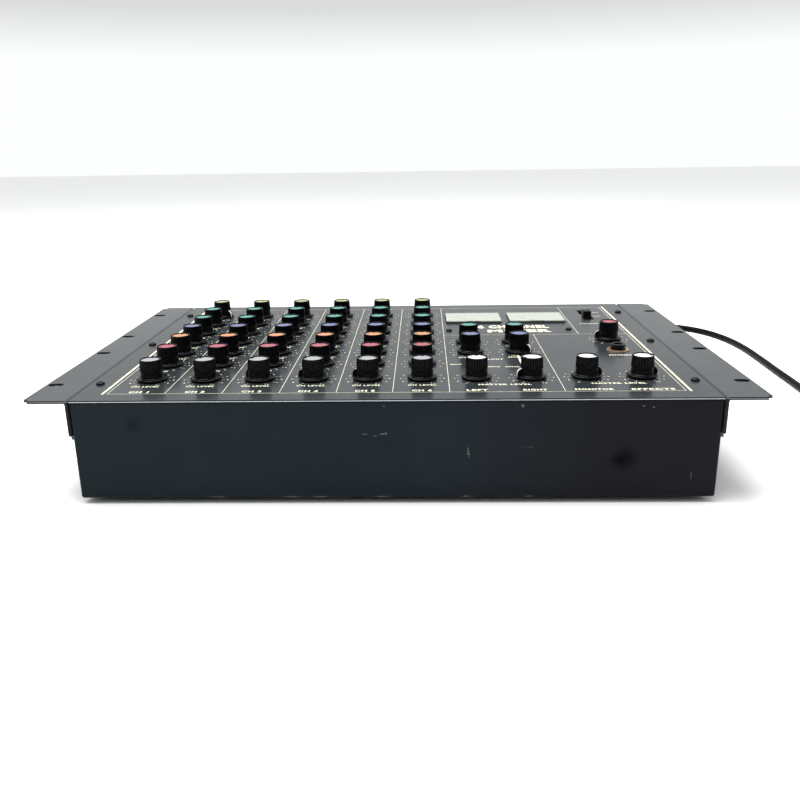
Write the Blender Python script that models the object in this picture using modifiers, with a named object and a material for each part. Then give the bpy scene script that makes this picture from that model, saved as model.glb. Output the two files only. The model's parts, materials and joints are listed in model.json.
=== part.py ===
"""A six-channel rack mixer, lying on its back with the control panel facing up.

Frame: origin under the middle of the panel, on the surface that the feet stand on. +X runs to the
panel's right, +Y to its top edge, +Z out of the panel. Lengths are in metres.
"""

import math

import bmesh
import bpy
from mathutils import Matrix, Vector

# Rack standard: 19 inches across the ears, 7 units high.
RACK_WIDTH = 0.4826
PANEL_DEPTH = 0.31035
HALF_DEPTH = PANEL_DEPTH / 2
SLOT_COLUMN = 0.2343
SLOT_LENGTH = 0.0103
SLOT_WIDTH = 0.0065
SLOT_ROWS = (-0.1175, -0.0286, 0.0286, 0.1175)

# Heights.
FOOT_HEIGHT = 0.004
BOX_HEIGHT = 0.0689
PANEL_TOP = FOOT_HEIGHT + BOX_HEIGHT
PLATE = 0.002
PANEL_UNDER = PANEL_TOP - PLATE
GAP = 0.0003

# The folded steel box.
SHEET = 0.0015
BOX_HALF_WIDTH = 0.2108
BOX_FRONT = -HALF_DEPTH + 0.0006
BOX_BACK = 0.146
BOX_TOP = PANEL_UNDER - GAP
LIP = 0.0118
FOOT_RADIUS = 0.007
FOOT_INSET = 0.022

# Rack ears: angle brackets of the same gauge as the plate.
EAR_GAUGE = 0.002
EAR_FLANGE_OUTSIDE = 0.2132
EAR_FLANGE_DROP = 0.028
EAR_BEND = 0.0022
EAR_CORNER = 0.0035

# Knobs: a skirt, a tapered body and a shaft that turns in a hole of the plate.
KNOB_HEIGHT = 0.0155
KNOB_LIFT = 0.0007
KNOB_TOP_RADIUS = 0.0074
KNOB_FOOT_RADIUS = 0.0078
SKIRT_RADIUS = 0.0102
SKIRT_THICKNESS = 0.0018
SHAFT_RADIUS = 0.003
SHAFT_REACH = 0.0024
SHAFT_HOLE_RADIUS = 0.0045
KNOB_SIDES = 12

# Knob places on the panel, and where each pointer stands, in degrees anticlockwise from 12 o'clock.
CHANNEL_PITCH = 0.0378
CHANNEL_1 = -0.1702
CHANNEL_ROWS = {
    "level": -0.1077,
    "pan": -0.0687,
    "effects": -0.0338,
    "monitor": 0.0011,
    "bass": 0.0360,
    "treble": 0.0709,
    "gain": 0.1058,
}
MASTER_KNOBS = {
    "master_left": (0.0563, -0.1077),
    "master_right": (0.0943, -0.1073),
    "effects_return_left": (0.0561, -0.0355),
    "effects_return_right": (0.0935, -0.0353),
    "master_bass": (0.0563, -0.0027),
    "master_treble": (0.0933, -0.0027),
    "monitor_master": (0.1322, -0.1062),
    "effects_master": (0.1703, -0.1059),
    "phones_level": (0.1706, 0.0038),
}
POINTERS = {
    "ch2_level": 40,
    "ch3_level": 65,
    "ch4_level": 80,
    "ch5_level": 80,
    "ch1_gain": -120,
    "master_right": 105,
    "effects_return_right": -130,
    "monitor_master": -80,
    "effects_master": -80,
    "phones_level": 80,
}

# Meters, headphone jack and power switch.
METER_WINDOW = (0.0505, 0.0360)
METER_PLACES = ((0.0652, 0.0875), (0.1222, 0.0875))
METER_RISE = 0.0024
METER_DEPTH = 0.030
JACK_PLACE = (0.1708, -0.0308)
JACK_RADIUS = 0.0059
JACK_HEIGHT = 0.005
BORE_RADIUS = 0.0033
JACK_DEPTH = 0.030
SWITCH_SLOT = (0.0090, 0.0430)
SWITCH_PLACE = (0.1706, 0.1023)
SWITCH_REST = 0.0975
SWITCH_KNOB = (0.0073, 0.0090, 0.0054)

# Sockets on the rear wall: one per channel, and four outputs.
SOCKET_RADIUS = 0.0052
SOCKET_BODY_RADIUS = 0.0070
SOCKET_PROUD = 0.003
SOCKET_DEPTH = 0.020
SOCKET_PLACES = [(CHANNEL_1 + i * CHANNEL_PITCH, 0.040) for i in range(6)]
SOCKET_PLACES += [(x, z) for x in (0.0563, 0.0943) for z in (0.028, 0.052)]

# Circuit board and what stands on it.
BOARD_TOP = PANEL_TOP - 0.016
BOARD_THICKNESS = 0.0016
BOARD_LOW = (-0.188, -0.126)
BOARD_HIGH = (0.190, 0.119)
POT_SIZE = (0.016, 0.014)
POT_TOP = PANEL_TOP - 0.003

# Mains lead: 1.8 m long. It drops to the table, curves round the right side and ends in a coil.
CORD_RADIUS = 0.00325
GLAND = (0.165, 0.030)
GLAND_END = 0.1545
COIL_CENTRE = (0.3675, -0.090)
COIL_INSIDE = 0.0262
COIL_OUTSIDE = 0.0460
COIL_HEIGHT = 0.0123
CORD_ROUTE = (
    (0.1650, 0.1548, 0.0300),
    (0.1650, 0.1700, 0.0298),
    (0.1651, 0.1850, 0.0270),
    (0.1660, 0.2050, 0.0185),
    (0.1690, 0.2250, 0.0100),
    (0.1745, 0.2450, 0.0048),
    (0.1830, 0.2680, 0.0034),
    (0.1980, 0.2990, 0.0034),
    (0.2210, 0.3300, 0.0034),
    (0.2510, 0.3550, 0.0034),
    (0.2830, 0.3670, 0.0034),
    (0.3140, 0.3660, 0.0034),
    (0.3420, 0.3510, 0.0034),
    (0.3620, 0.3260, 0.0034),
    (0.3740, 0.2900, 0.0034),
    (0.3785, 0.2470, 0.0034),
    (0.3778, 0.2000, 0.0034),
    (0.3758, 0.1500, 0.0034),
    (0.3742, 0.1000, 0.0034),
    (0.3700, 0.0550, 0.0034),
    (0.3600, 0.0150, 0.0034),
    (0.3450, -0.0180, 0.0034),
    (0.3310, -0.0440, 0.0034),
    (0.3246, -0.0663, 0.0034),
)
CORD_STEP = 0.0135
PLUG_AXIS_X = COIL_CENTRE[0] + 0.0393
PLUG_START = COIL_CENTRE[1] + 0.0298
PLUG_RELIEF_LENGTH = 0.020
PLUG_RELIEF_RADIUS = 0.0050
PLUG_BODY_SIZE = (0.0240, 0.0280, 0.0180)
PLUG_BLADE = (0.0015, 0.0170, 0.0063)
PLUG_BLADE_SPREAD = 0.0064
PLUG_PIN_RADIUS = 0.0024


def start_collections():
    """Empties the scene and returns the collections for the parts and for the cutters."""
    for old in list(bpy.data.objects):
        bpy.data.objects.remove(old)
    found = []
    for name in ("rack_mixer", "cutters"):
        collection = bpy.data.collections.new(name)
        bpy.context.scene.collection.children.link(collection)
        found.append(collection)
    return found


PARTS, CUTTERS = start_collections()


def material(name, colour, roughness, metallic=0.0):
    """A Principled material with one colour."""
    made = bpy.data.materials.new(name)
    made.use_nodes = True
    shader = made.node_tree.nodes["Principled BSDF"]
    shader.inputs["Base Color"].default_value = (*colour, 1.0)
    shader.inputs["Roughness"].default_value = roughness
    shader.inputs["Metallic"].default_value = metallic
    return made


PANEL_PAINT = material("panel_paint", (0.085, 0.088, 0.095), 0.42)
BOX_PAINT = material("box_paint", (0.016, 0.019, 0.024), 0.48)
KNOB_PLASTIC = material("knob_plastic", (0.008, 0.008, 0.010), 0.30)
BOARD_PLASTIC = material("board", (0.05, 0.10, 0.04), 0.60)
CORD_RUBBER = material("cord_rubber", (0.010, 0.010, 0.011), 0.38)


def add_box(mesh, low, high):
    """Adds a box between two corners to a bmesh."""
    size = [b - a for a, b in zip(low, high)]
    middle = [(a + b) / 2 for a, b in zip(low, high)]
    place = Matrix.Translation(middle) @ Matrix.Diagonal((*size, 1.0))
    bmesh.ops.create_cube(mesh, size=1.0, matrix=place)


def add_cylinder(mesh, start, end, radius, sides, end_radius=None):
    """Adds a cylinder, or a cone where end_radius is given, along the line from start to end."""
    start = Vector(start)
    axis = Vector(end) - start
    turn = axis.to_track_quat("Z", "Y").to_matrix().to_4x4()
    bmesh.ops.create_cone(
        mesh,
        cap_ends=True,
        segments=sides,
        radius1=radius,
        radius2=radius if end_radius is None else end_radius,
        depth=axis.length,
        matrix=Matrix.Translation(start + axis / 2) @ turn,
    )


def add_object(name, mesh, finish):
    """Links an object that holds a finished bmesh."""
    bmesh.ops.recalc_face_normals(mesh, faces=mesh.faces[:])
    data = bpy.data.meshes.new(name)
    mesh.to_mesh(data)
    mesh.free()
    data.materials.append(finish)
    made = bpy.data.objects.new(name, data)
    PARTS.objects.link(made)
    return made


def add_helper(name, fill, *values):
    """An object that only cuts or joins another. fill adds its shape to a bmesh."""
    mesh = bmesh.new()
    fill(mesh, *values)
    bmesh.ops.recalc_face_normals(mesh, faces=mesh.faces[:])
    data = bpy.data.meshes.new(name)
    mesh.to_mesh(data)
    mesh.free()
    made = bpy.data.objects.new(name, data)
    made.hide_render = True
    made.display_type = "WIRE"
    CUTTERS.objects.link(made)
    return made


def combine(target, helper, operation):
    """Cuts the helper from the target, or joins it to the target."""
    modifier = target.modifiers.new(helper.name, "BOOLEAN")
    modifier.operation = operation
    modifier.object = helper


def knob_places():
    """Name, X, Y and pointer angle in degrees of every knob."""
    places = {}
    for i in range(6):
        for row, y in CHANNEL_ROWS.items():
            places[f"ch{i + 1}_{row}"] = (CHANNEL_1 + i * CHANNEL_PITCH, y)
    places.update(MASTER_KNOBS)
    return [(name, x, y, POINTERS.get(name, 0)) for name, (x, y) in places.items()]


def add_knobs():
    """All knobs share one turned profile, which runs down the outside from the top centre."""
    skirt_top = KNOB_LIFT + SKIRT_THICKNESS
    profile = [
        (0.0, KNOB_HEIGHT),
        (KNOB_TOP_RADIUS, KNOB_HEIGHT),
        (KNOB_FOOT_RADIUS, skirt_top),
        (SKIRT_RADIUS, skirt_top),
        (SKIRT_RADIUS, KNOB_LIFT),
        (SHAFT_RADIUS, KNOB_LIFT),
        (SHAFT_RADIUS, -SHAFT_REACH),
        (0.0, -SHAFT_REACH),
    ]
    data = bpy.data.meshes.new("knob")
    edges = [(i, i + 1) for i in range(len(profile) - 1)]
    data.from_pydata([(x, 0.0, z) for x, z in profile], edges, [])
    data.materials.append(KNOB_PLASTIC)
    for name, x, y, pointer in knob_places():
        knob = bpy.data.objects.new(f"{name}_knob", data)
        knob.location = (x, y, PANEL_TOP)
        knob.rotation_euler.z = math.radians(pointer)
        PARTS.objects.link(knob)
        turn = knob.modifiers.new("turn", "SCREW")
        turn.steps = KNOB_SIDES
        turn.render_steps = KNOB_SIDES
        turn.use_merge_vertices = True
        turn.merge_threshold = 0.00001


def add_switch_slider():
    """The finger block and the shoe that runs in the slot, in one moulding."""
    x = SWITCH_PLACE[0]
    width, length, height = SWITCH_KNOB
    mesh = bmesh.new()
    low = (x - width / 2, SWITCH_REST - length / 2, PANEL_UNDER - 0.0018)
    high = (x + width / 2, SWITCH_REST + length / 2, PANEL_TOP + height)
    add_box(mesh, low, high)
    upright = [e for e in mesh.edges if abs(e.verts[0].co.z - e.verts[1].co.z) > height / 2]
    bmesh.ops.bevel(mesh, geom=upright, offset=0.0012, segments=2, affect="EDGES")
    add_object("power_switch_slider", mesh, KNOB_PLASTIC)


def fill_panel_holes(mesh):
    """Every hole in the faceplate: shafts, meter windows, the jack and the switch slot."""
    above = PANEL_TOP + 0.002
    below = PANEL_UNDER - 0.002
    for _, x, y, _ in knob_places():
        add_cylinder(mesh, (x, y, below), (x, y, above), SHAFT_HOLE_RADIUS, 8)
    x, y = JACK_PLACE
    add_cylinder(mesh, (x, y, below), (x, y, above), JACK_RADIUS + 0.0006, 16)
    for places, size in ((METER_PLACES, METER_WINDOW), ((SWITCH_PLACE,), SWITCH_SLOT)):
        for x, y in places:
            low = (x - size[0] / 2, y - size[1] / 2, below)
            high = (x + size[0] / 2, y + size[1] / 2, above)
            add_box(mesh, low, high)


def add_faceplate():
    """The flat control panel."""
    mesh = bmesh.new()
    half_width = BOX_HALF_WIDTH + 0.0001
    low = (-half_width, -HALF_DEPTH, PANEL_UNDER)
    high = (half_width, HALF_DEPTH, PANEL_TOP)
    add_box(mesh, low, high)
    plate = add_object("faceplate", mesh, PANEL_PAINT)
    combine(plate, add_helper("panel_holes", fill_panel_holes), "DIFFERENCE")


def ear_profile(side):
    """Section of a rack ear across X and Z, with a rounded bend at its inner top edge."""
    outside = RACK_WIDTH / 2
    inside = EAR_FLANGE_OUTSIDE - EAR_GAUGE
    bottom = PANEL_TOP - EAR_FLANGE_DROP
    section = [(outside, PANEL_TOP)]
    for step in range(4):
        angle = math.radians(90 + 30 * step)
        x = inside + EAR_BEND * (1 + math.cos(angle))
        section.append((x, PANEL_TOP - EAR_BEND * (1 - math.sin(angle))))
    section += [(inside, bottom), (EAR_FLANGE_OUTSIDE, bottom)]
    section += [(EAR_FLANGE_OUTSIDE, PANEL_TOP - EAR_GAUGE), (outside, PANEL_TOP - EAR_GAUGE)]
    return [(side * x, z) for x, z in section]


def fill_ear_slots(mesh, side):
    """The four mounting slots of one ear, with round ends."""
    reach = (SLOT_LENGTH - SLOT_WIDTH) / 2
    for y in SLOT_ROWS:
        corners = []
        for end, start in ((1, -90), (-1, 90)):
            for step in range(5):
                angle = math.radians(start + 45 * step)
                x = side * SLOT_COLUMN + end * reach + SLOT_WIDTH / 2 * math.cos(angle)
                corners.append((x, y + SLOT_WIDTH / 2 * math.sin(angle), PANEL_TOP - 0.005))
        face = mesh.faces.new([mesh.verts.new(corner) for corner in corners])
        lifted = bmesh.ops.extrude_face_region(mesh, geom=[face])["geom"]
        moved = [v for v in lifted if isinstance(v, bmesh.types.BMVert)]
        bmesh.ops.translate(mesh, vec=(0, 0, 0.008), verts=moved)


def add_ear(name, side):
    """One ear: the section drawn along Y, with its outer and lower corners rounded."""
    mesh = bmesh.new()
    ring = [mesh.verts.new((x, -HALF_DEPTH, z)) for x, z in ear_profile(side)]
    face = mesh.faces.new(ring)
    drawn = bmesh.ops.extrude_face_region(mesh, geom=[face])["geom"]
    moved = [v for v in drawn if isinstance(v, bmesh.types.BMVert)]
    bmesh.ops.translate(mesh, vec=(0, PANEL_DEPTH, 0), verts=moved)
    corners = []
    for edge in mesh.edges:
        a, b = (v.co for v in edge.verts)
        outer = min(abs(a.x), abs(b.x)) > RACK_WIDTH / 2 - 0.0001
        lower = max(a.z, b.z) < PANEL_TOP - EAR_FLANGE_DROP + 0.0001
        if abs(a.y - b.y) < 0.0001 and (outer or lower):
            corners.append(edge)
    bmesh.ops.bevel(mesh, geom=corners, offset=EAR_CORNER, segments=3, affect="EDGES")
    ear = add_object(name, mesh, PANEL_PAINT)
    combine(ear, add_helper(f"{name}_slots", fill_ear_slots, side), "DIFFERENCE")


def fill_box_hollow(mesh):
    """The inside of the folded box, below its lips, and the opening between the lips."""
    low = (-BOX_HALF_WIDTH + SHEET, BOX_FRONT + SHEET, FOOT_HEIGHT + SHEET)
    high = (BOX_HALF_WIDTH - SHEET, BOX_BACK - SHEET, BOX_TOP - SHEET)
    add_box(mesh, low, high)


def fill_box_opening(mesh):
    """The opening between the lips that the faceplate covers."""
    low = (-BOX_HALF_WIDTH + SHEET + LIP, BOX_FRONT + SHEET + LIP, BOX_TOP - 0.004)
    high = (BOX_HALF_WIDTH - SHEET - LIP, BOX_BACK - SHEET - LIP, BOX_TOP + 0.004)
    add_box(mesh, low, high)


def fill_box_fittings(mesh):
    """Feet, the cord's gland and the barrels of the rear sockets."""
    for x in (-BOX_HALF_WIDTH + FOOT_INSET, BOX_HALF_WIDTH - FOOT_INSET):
        for y in (BOX_FRONT + FOOT_INSET, BOX_BACK - FOOT_INSET):
            add_cylinder(mesh, (x, y, 0), (x, y, FOOT_HEIGHT + SHEET / 2), FOOT_RADIUS, 16)
    x, z = GLAND
    inside = BOX_BACK - SHEET - 0.004
    add_cylinder(mesh, (x, inside, z), (x, GLAND_END, z), 0.0075, 12, 0.0055)
    for x, z in SOCKET_PLACES:
        inside = (x, BOX_BACK - SOCKET_DEPTH - 0.002, z)
        add_cylinder(mesh, inside, (x, BOX_BACK - SHEET / 2, z), SOCKET_BODY_RADIUS, 12)


def fill_socket_rings(mesh):
    """The threaded rings of the rear sockets, standing proud of the wall."""
    for x, z in SOCKET_PLACES:
        inside = (x, BOX_BACK - SHEET / 3, z)
        add_cylinder(mesh, inside, (x, BOX_BACK + SOCKET_PROUD, z), SOCKET_RADIUS, 12)


def fill_socket_bores(mesh):
    """The plug bores of the rear sockets, closed at their inner ends."""
    for x, z in SOCKET_PLACES:
        inside = (x, BOX_BACK - SOCKET_DEPTH, z)
        add_cylinder(mesh, inside, (x, BOX_BACK + 2 * SOCKET_PROUD, z), BORE_RADIUS, 12)


def add_chassis():
    """The folded steel box that carries the panel, with its feet, gland and rear sockets."""
    mesh = bmesh.new()
    low = (-BOX_HALF_WIDTH, BOX_FRONT, FOOT_HEIGHT)
    high = (BOX_HALF_WIDTH, BOX_BACK, BOX_TOP)
    add_box(mesh, low, high)
    box = add_object("chassis", mesh, BOX_PAINT)
    combine(box, add_helper("box_hollow", fill_box_hollow), "DIFFERENCE")
    combine(box, add_helper("box_opening", fill_box_opening), "DIFFERENCE")
    combine(box, add_helper("box_fittings", fill_box_fittings), "UNION")
    combine(box, add_helper("socket_rings", fill_socket_rings), "UNION")
    combine(box, add_helper("socket_bores", fill_socket_bores), "DIFFERENCE")


def fill_controls(mesh):
    """Potentiometers, meter movements, the headphone jack's body and the switch's body."""
    low_z = BOARD_TOP - BOARD_THICKNESS / 2
    for _, x, y, _ in knob_places():
        low = (x - POT_SIZE[0] / 2, y - POT_SIZE[1] / 2, low_z)
        high = (x + POT_SIZE[0] / 2, y + POT_SIZE[1] / 2, POT_TOP)
        add_box(mesh, low, high)
    for x, y in METER_PLACES:
        half_width, half_height = (side / 2 - 0.0005 for side in METER_WINDOW)
        low = (x - half_width, y - half_height, PANEL_TOP - METER_DEPTH)
        add_box(mesh, low, (x + half_width, y + half_height, PANEL_TOP + METER_RISE))
    x, y = JACK_PLACE
    low = (x - 0.008, y - 0.0095, PANEL_TOP - JACK_DEPTH)
    add_box(mesh, low, (x + 0.008, y + 0.0095, POT_TOP))
    x, y = SWITCH_PLACE
    low = (x - 0.007, y - SWITCH_SLOT[1] / 2 - 0.002, low_z)
    add_box(mesh, low, (x + 0.007, y + SWITCH_SLOT[1] / 2 - 0.006, PANEL_UNDER - 0.0024))


def fill_power_supply(mesh):
    """Transformer, two capacitors and the posts that carry the board."""
    joint = BOARD_TOP - BOARD_THICKNESS / 2
    add_box(mesh, (0.110, 0.005, FOOT_HEIGHT + 0.006), (0.166, 0.053, joint))
    for y in (0.012, 0.044):
        add_cylinder(mesh, (0.085, y, FOOT_HEIGHT + 0.012), (0.085, y, joint), 0.011, 12)
    for x in (-0.176, 0.0, 0.178):
        for y in (-0.112, 0.100):
            foot = FOOT_HEIGHT + SHEET + GAP
            add_cylinder(mesh, (x, y, foot), (x, y, joint), 0.0035, 8)


def fill_jack_bush(mesh):
    """The threaded bush of the headphone jack, through the faceplate."""
    x, y = JACK_PLACE
    top = PANEL_TOP + JACK_HEIGHT
    add_cylinder(mesh, (x, y, POT_TOP - 0.002), (x, y, top), JACK_RADIUS, 16)


def fill_jack_bore(mesh):
    """The plug's bore in the headphone jack."""
    x, y = JACK_PLACE
    bottom = PANEL_TOP - JACK_DEPTH + 0.002
    add_cylinder(mesh, (x, y, bottom), (x, y, PANEL_TOP + 2 * JACK_HEIGHT), BORE_RADIUS, 12)


def add_electronics():
    """The circuit board with everything that is fixed to it."""
    mesh = bmesh.new()
    low = (*BOARD_LOW, BOARD_TOP - BOARD_THICKNESS)
    add_box(mesh, low, (*BOARD_HIGH, BOARD_TOP))
    board = add_object("electronics", mesh, BOARD_PLASTIC)
    combine(board, add_helper("controls", fill_controls), "UNION")
    combine(board, add_helper("power_supply", fill_power_supply), "UNION")
    combine(board, add_helper("jack_bush", fill_jack_bush), "UNION")
    combine(board, add_helper("jack_bore", fill_jack_bore), "DIFFERENCE")


def smooth_route(points, step):
    """Points a step apart on the Catmull-Rom curve through the given points."""
    knots = [Vector(p) for p in points]
    knots = [2 * knots[0] - knots[1], *knots, 2 * knots[-1] - knots[-2]]
    fine = []
    for a, b, c, d in zip(knots, knots[1:], knots[2:], knots[3:]):
        for i in range(40):
            t = i / 40
            curve = 2 * b + (c - a) * t + (2 * a - 5 * b + 4 * c - d) * t**2
            fine.append((curve + (3 * b - a - 3 * c + d) * t**3) / 2)
    fine.append(knots[-2])
    length = sum((q - p).length for p, q in zip(fine, fine[1:]))
    count = round(length / step)
    route = [fine[0]]
    gone = 0.0
    for p, q in zip(fine, fine[1:]):
        gone += (q - p).length
        if gone >= len(route) * length / count and len(route) < count:
            route.append(q)
    return [*route, fine[-1]]


def add_power_cord():
    """The stretch of the mains lead that isn't coiled."""
    route = smooth_route(CORD_ROUTE, CORD_STEP)
    data = bpy.data.curves.new("power_cord", "CURVE")
    data.dimensions = "3D"
    data.bevel_depth = CORD_RADIUS
    data.bevel_resolution = 2
    data.use_fill_caps = True
    spline = data.splines.new("POLY")
    spline.points.add(len(route) - 1)
    for point, place in zip(spline.points, route):
        point.co = (*place, 1.0)
    data.materials.append(CORD_RUBBER)
    PARTS.objects.link(bpy.data.objects.new("power_cord", data))


def add_coil():
    """The outer shape of the coiled rest of the lead, as a turned ring."""
    middle = (COIL_INSIDE + COIL_OUTSIDE) / 2
    half = (COIL_OUTSIDE - COIL_INSIDE) / 2
    section = []
    for step in range(8):
        angle = math.radians(112.5 - 45 * step)
        x = middle + half * max(-1, min(1, math.cos(angle) * 1.0824))
        z = COIL_HEIGHT / 2 * (1 + max(-1, min(1, math.sin(angle) * 1.0824)))
        section.append((x, 0.0, z + 0.0001))
    data = bpy.data.meshes.new("power_cord_coil")
    edges = [(i, (i + 1) % len(section)) for i in range(len(section))]
    data.from_pydata(section, edges, [])
    data.materials.append(CORD_RUBBER)
    coil = bpy.data.objects.new("power_cord_coil", data)
    coil.location = (*COIL_CENTRE, 0.0)
    PARTS.objects.link(coil)
    turn = coil.modifiers.new("turn", "SCREW")
    turn.steps = 32
    turn.render_steps = 32
    turn.use_merge_vertices = True
    turn.merge_threshold = 0.00001


def fill_plug_relief(mesh):
    """The plug's tapered strain relief, and its round earth pin."""
    axis_z = PLUG_BODY_SIZE[2] / 2 + 0.0002
    start = (PLUG_AXIS_X, PLUG_START, axis_z)
    end = (PLUG_AXIS_X, PLUG_START + PLUG_RELIEF_LENGTH + 0.002, axis_z)
    add_cylinder(mesh, start, end, CORD_RADIUS + 0.0006, 12, PLUG_RELIEF_RADIUS)
    face = PLUG_START + PLUG_RELIEF_LENGTH + PLUG_BODY_SIZE[1]
    pin_z = axis_z - 0.0050
    pin_end = (PLUG_AXIS_X, face + PLUG_BLADE[1] + 0.002, pin_z)
    add_cylinder(mesh, (PLUG_AXIS_X, face - 0.002, pin_z), pin_end, PLUG_PIN_RADIUS, 10)


def fill_plug_blades(mesh):
    """The two flat blades."""
    face = PLUG_START + PLUG_RELIEF_LENGTH + PLUG_BODY_SIZE[1]
    middle_z = PLUG_BODY_SIZE[2] / 2 + 0.0032
    for side in (-1, 1):
        x = PLUG_AXIS_X + side * PLUG_BLADE_SPREAD
        low = (x - PLUG_BLADE[0] / 2, face - 0.002, middle_z - PLUG_BLADE[2] / 2)
        high = (x + PLUG_BLADE[0] / 2, face + PLUG_BLADE[1], middle_z + PLUG_BLADE[2] / 2)
        add_box(mesh, low, high)


def add_plug():
    """The moulded mains plug, lying beside the coil with its blades pointing away from it."""
    width, length, height = PLUG_BODY_SIZE
    start = PLUG_START + PLUG_RELIEF_LENGTH
    mesh = bmesh.new()
    low = (PLUG_AXIS_X - width / 2, start, 0.0002)
    add_box(mesh, low, (PLUG_AXIS_X + width / 2, start + length, 0.0002 + height))
    along = [e for e in mesh.edges if abs(e.verts[0].co.y - e.verts[1].co.y) > length / 2]
    bmesh.ops.bevel(mesh, geom=along, offset=0.004, segments=3, affect="EDGES")
    plug = add_object("power_plug", mesh, CORD_RUBBER)
    combine(plug, add_helper("plug_relief", fill_plug_relief), "UNION")
    combine(plug, add_helper("plug_blades", fill_plug_blades), "UNION")


add_knobs()
add_switch_slider()
add_faceplate()
add_ear("rack_ear_left", -1)
add_ear("rack_ear_right", 1)
add_chassis()
add_electronics()
add_power_cord()
add_coil()
add_plug()
for made in PARTS.objects:
    if made.type == "MESH":
        made.data.shade_smooth()
        made.data.set_sharp_from_angle(angle=math.radians(35))
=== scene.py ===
"""A six-channel rack mixer lying face up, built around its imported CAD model. Lengths are in metres."""

import json
import math

import bmesh
import bpy
from mathutils import Matrix, Vector


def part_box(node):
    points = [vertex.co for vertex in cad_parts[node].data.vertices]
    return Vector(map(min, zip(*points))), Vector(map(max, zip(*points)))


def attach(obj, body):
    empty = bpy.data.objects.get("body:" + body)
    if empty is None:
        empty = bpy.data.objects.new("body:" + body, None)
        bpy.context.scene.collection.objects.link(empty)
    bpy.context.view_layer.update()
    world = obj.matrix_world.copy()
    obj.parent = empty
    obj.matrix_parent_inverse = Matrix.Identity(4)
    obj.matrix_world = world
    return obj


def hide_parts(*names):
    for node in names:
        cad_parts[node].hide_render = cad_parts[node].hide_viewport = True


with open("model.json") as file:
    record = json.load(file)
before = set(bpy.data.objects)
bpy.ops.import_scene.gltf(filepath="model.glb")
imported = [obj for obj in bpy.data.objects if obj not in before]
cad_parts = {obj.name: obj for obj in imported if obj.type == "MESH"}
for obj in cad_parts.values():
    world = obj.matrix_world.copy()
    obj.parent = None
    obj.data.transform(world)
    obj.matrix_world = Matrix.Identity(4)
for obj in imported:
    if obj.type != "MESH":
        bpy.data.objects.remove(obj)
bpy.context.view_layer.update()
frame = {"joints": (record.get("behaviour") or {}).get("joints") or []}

# Places that the CAD model gives.
PLATE_LOW, PLATE_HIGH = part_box("faceplate")
CASE_LOW, CASE_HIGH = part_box("chassis")
SLIDER_LOW, SLIDER_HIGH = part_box("power_switch_slider")
PLUG_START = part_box("power_plug")[0].y
PANEL_TOP = PLATE_HIGH.z
HALF_DEPTH = PLATE_HIGH.y
RACK_HALF_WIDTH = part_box("rack_ear_right")[1].x

# Sizes that part.py names too.
FOOT_HEIGHT = 0.004
FOOT_RADIUS = 0.007
FOOT_INSET = 0.022
SHEET = 0.0015
LIP = 0.0118
CASE_BACK = 0.146
EAR_GAUGE = 0.002
EAR_FLANGE_OUTSIDE = 0.2132
EAR_FLANGE_DROP = 0.028
EAR_CORNER = 0.0035
SIDE_GAP = 0.0005
SLOT_COLUMN = 0.2343
SLOT_SIZE = (0.0103, 0.0065)
SLOT_ROWS = (-0.1175, -0.0286, 0.0286, 0.1175)
METER_WINDOW = (0.0505, 0.0360)
METER_PLACES = ((0.0652, 0.0875), (0.1222, 0.0875))
METER_RISE = 0.0024
JACK_PLACE = (0.1708, -0.0308)
JACK_RADIUS = 0.0059
BORE_RADIUS = 0.0033
SWITCH_SLOT = (0.0090, 0.0430)
SWITCH_PLACE = (0.1706, 0.1023)
SOCKET_PLACES = [(-0.1702 + i * 0.0378, 0.040) for i in range(6)]
SOCKET_PLACES += [(x, z) for x in (0.0563, 0.0943) for z in (0.028, 0.052)]
BOARD_TOP = 0.0569
BOARD_THICKNESS = 0.0016
BOARD_LOW = (-0.188, -0.126)
BOARD_HIGH = (0.190, 0.119)
POT_TOP = 0.0699
METER_DEPTH = 0.030
JACK_DEPTH = 0.030

# Mains lead.
CORD_DIAMETER = 0.0065
GLAND = Vector((0.165, CASE_BACK, 0.030))
GLAND_END = 0.1545
COIL_CENTRE = (0.3675, -0.090)
CORD_ROUTE = (
    (0.1650, 0.1548, 0.0300),
    (0.1650, 0.1700, 0.0298),
    (0.1651, 0.1850, 0.0270),
    (0.1660, 0.2050, 0.0185),
    (0.1690, 0.2250, 0.0100),
    (0.1745, 0.2450, 0.0048),
    (0.1830, 0.2680, 0.0034),
    (0.1980, 0.2990, 0.0034),
    (0.2210, 0.3300, 0.0034),
    (0.2510, 0.3550, 0.0034),
    (0.2830, 0.3670, 0.0034),
    (0.3140, 0.3660, 0.0034),
    (0.3420, 0.3510, 0.0034),
    (0.3620, 0.3260, 0.0034),
    (0.3740, 0.2900, 0.0034),
    (0.3785, 0.2470, 0.0034),
    (0.3778, 0.2000, 0.0034),
    (0.3758, 0.1500, 0.0034),
    (0.3742, 0.1000, 0.0034),
    (0.3700, 0.0550, 0.0034),
    (0.3600, 0.0150, 0.0034),
    (0.3450, -0.0180, 0.0034),
    (0.3310, -0.0440, 0.0034),
    (0.3246, -0.0663, 0.0034),
)
# How the coil lies: degrees turned since its left side, radius and height of the lead's middle.
COIL_LAY = (
    (0, 0.0425, 0.0034),
    (260, 0.0425, 0.0034),
    (350, 0.0360, 0.0034),
    (620, 0.0360, 0.0034),
    (710, 0.0295, 0.0034),
    (915, 0.0295, 0.0034),
    (985, 0.0295, 0.0099),
    (1070, 0.03275, 0.0096),
    (1105, 0.03275, 0.0091),
    (1240, 0.03275, 0.0091),
    (1340, 0.03925, 0.0099),
    (1440, 0.03925, 0.0099),
    (1490, 0.03925, 0.0091),
    (1620, 0.03930, 0.0091),
)

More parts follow.
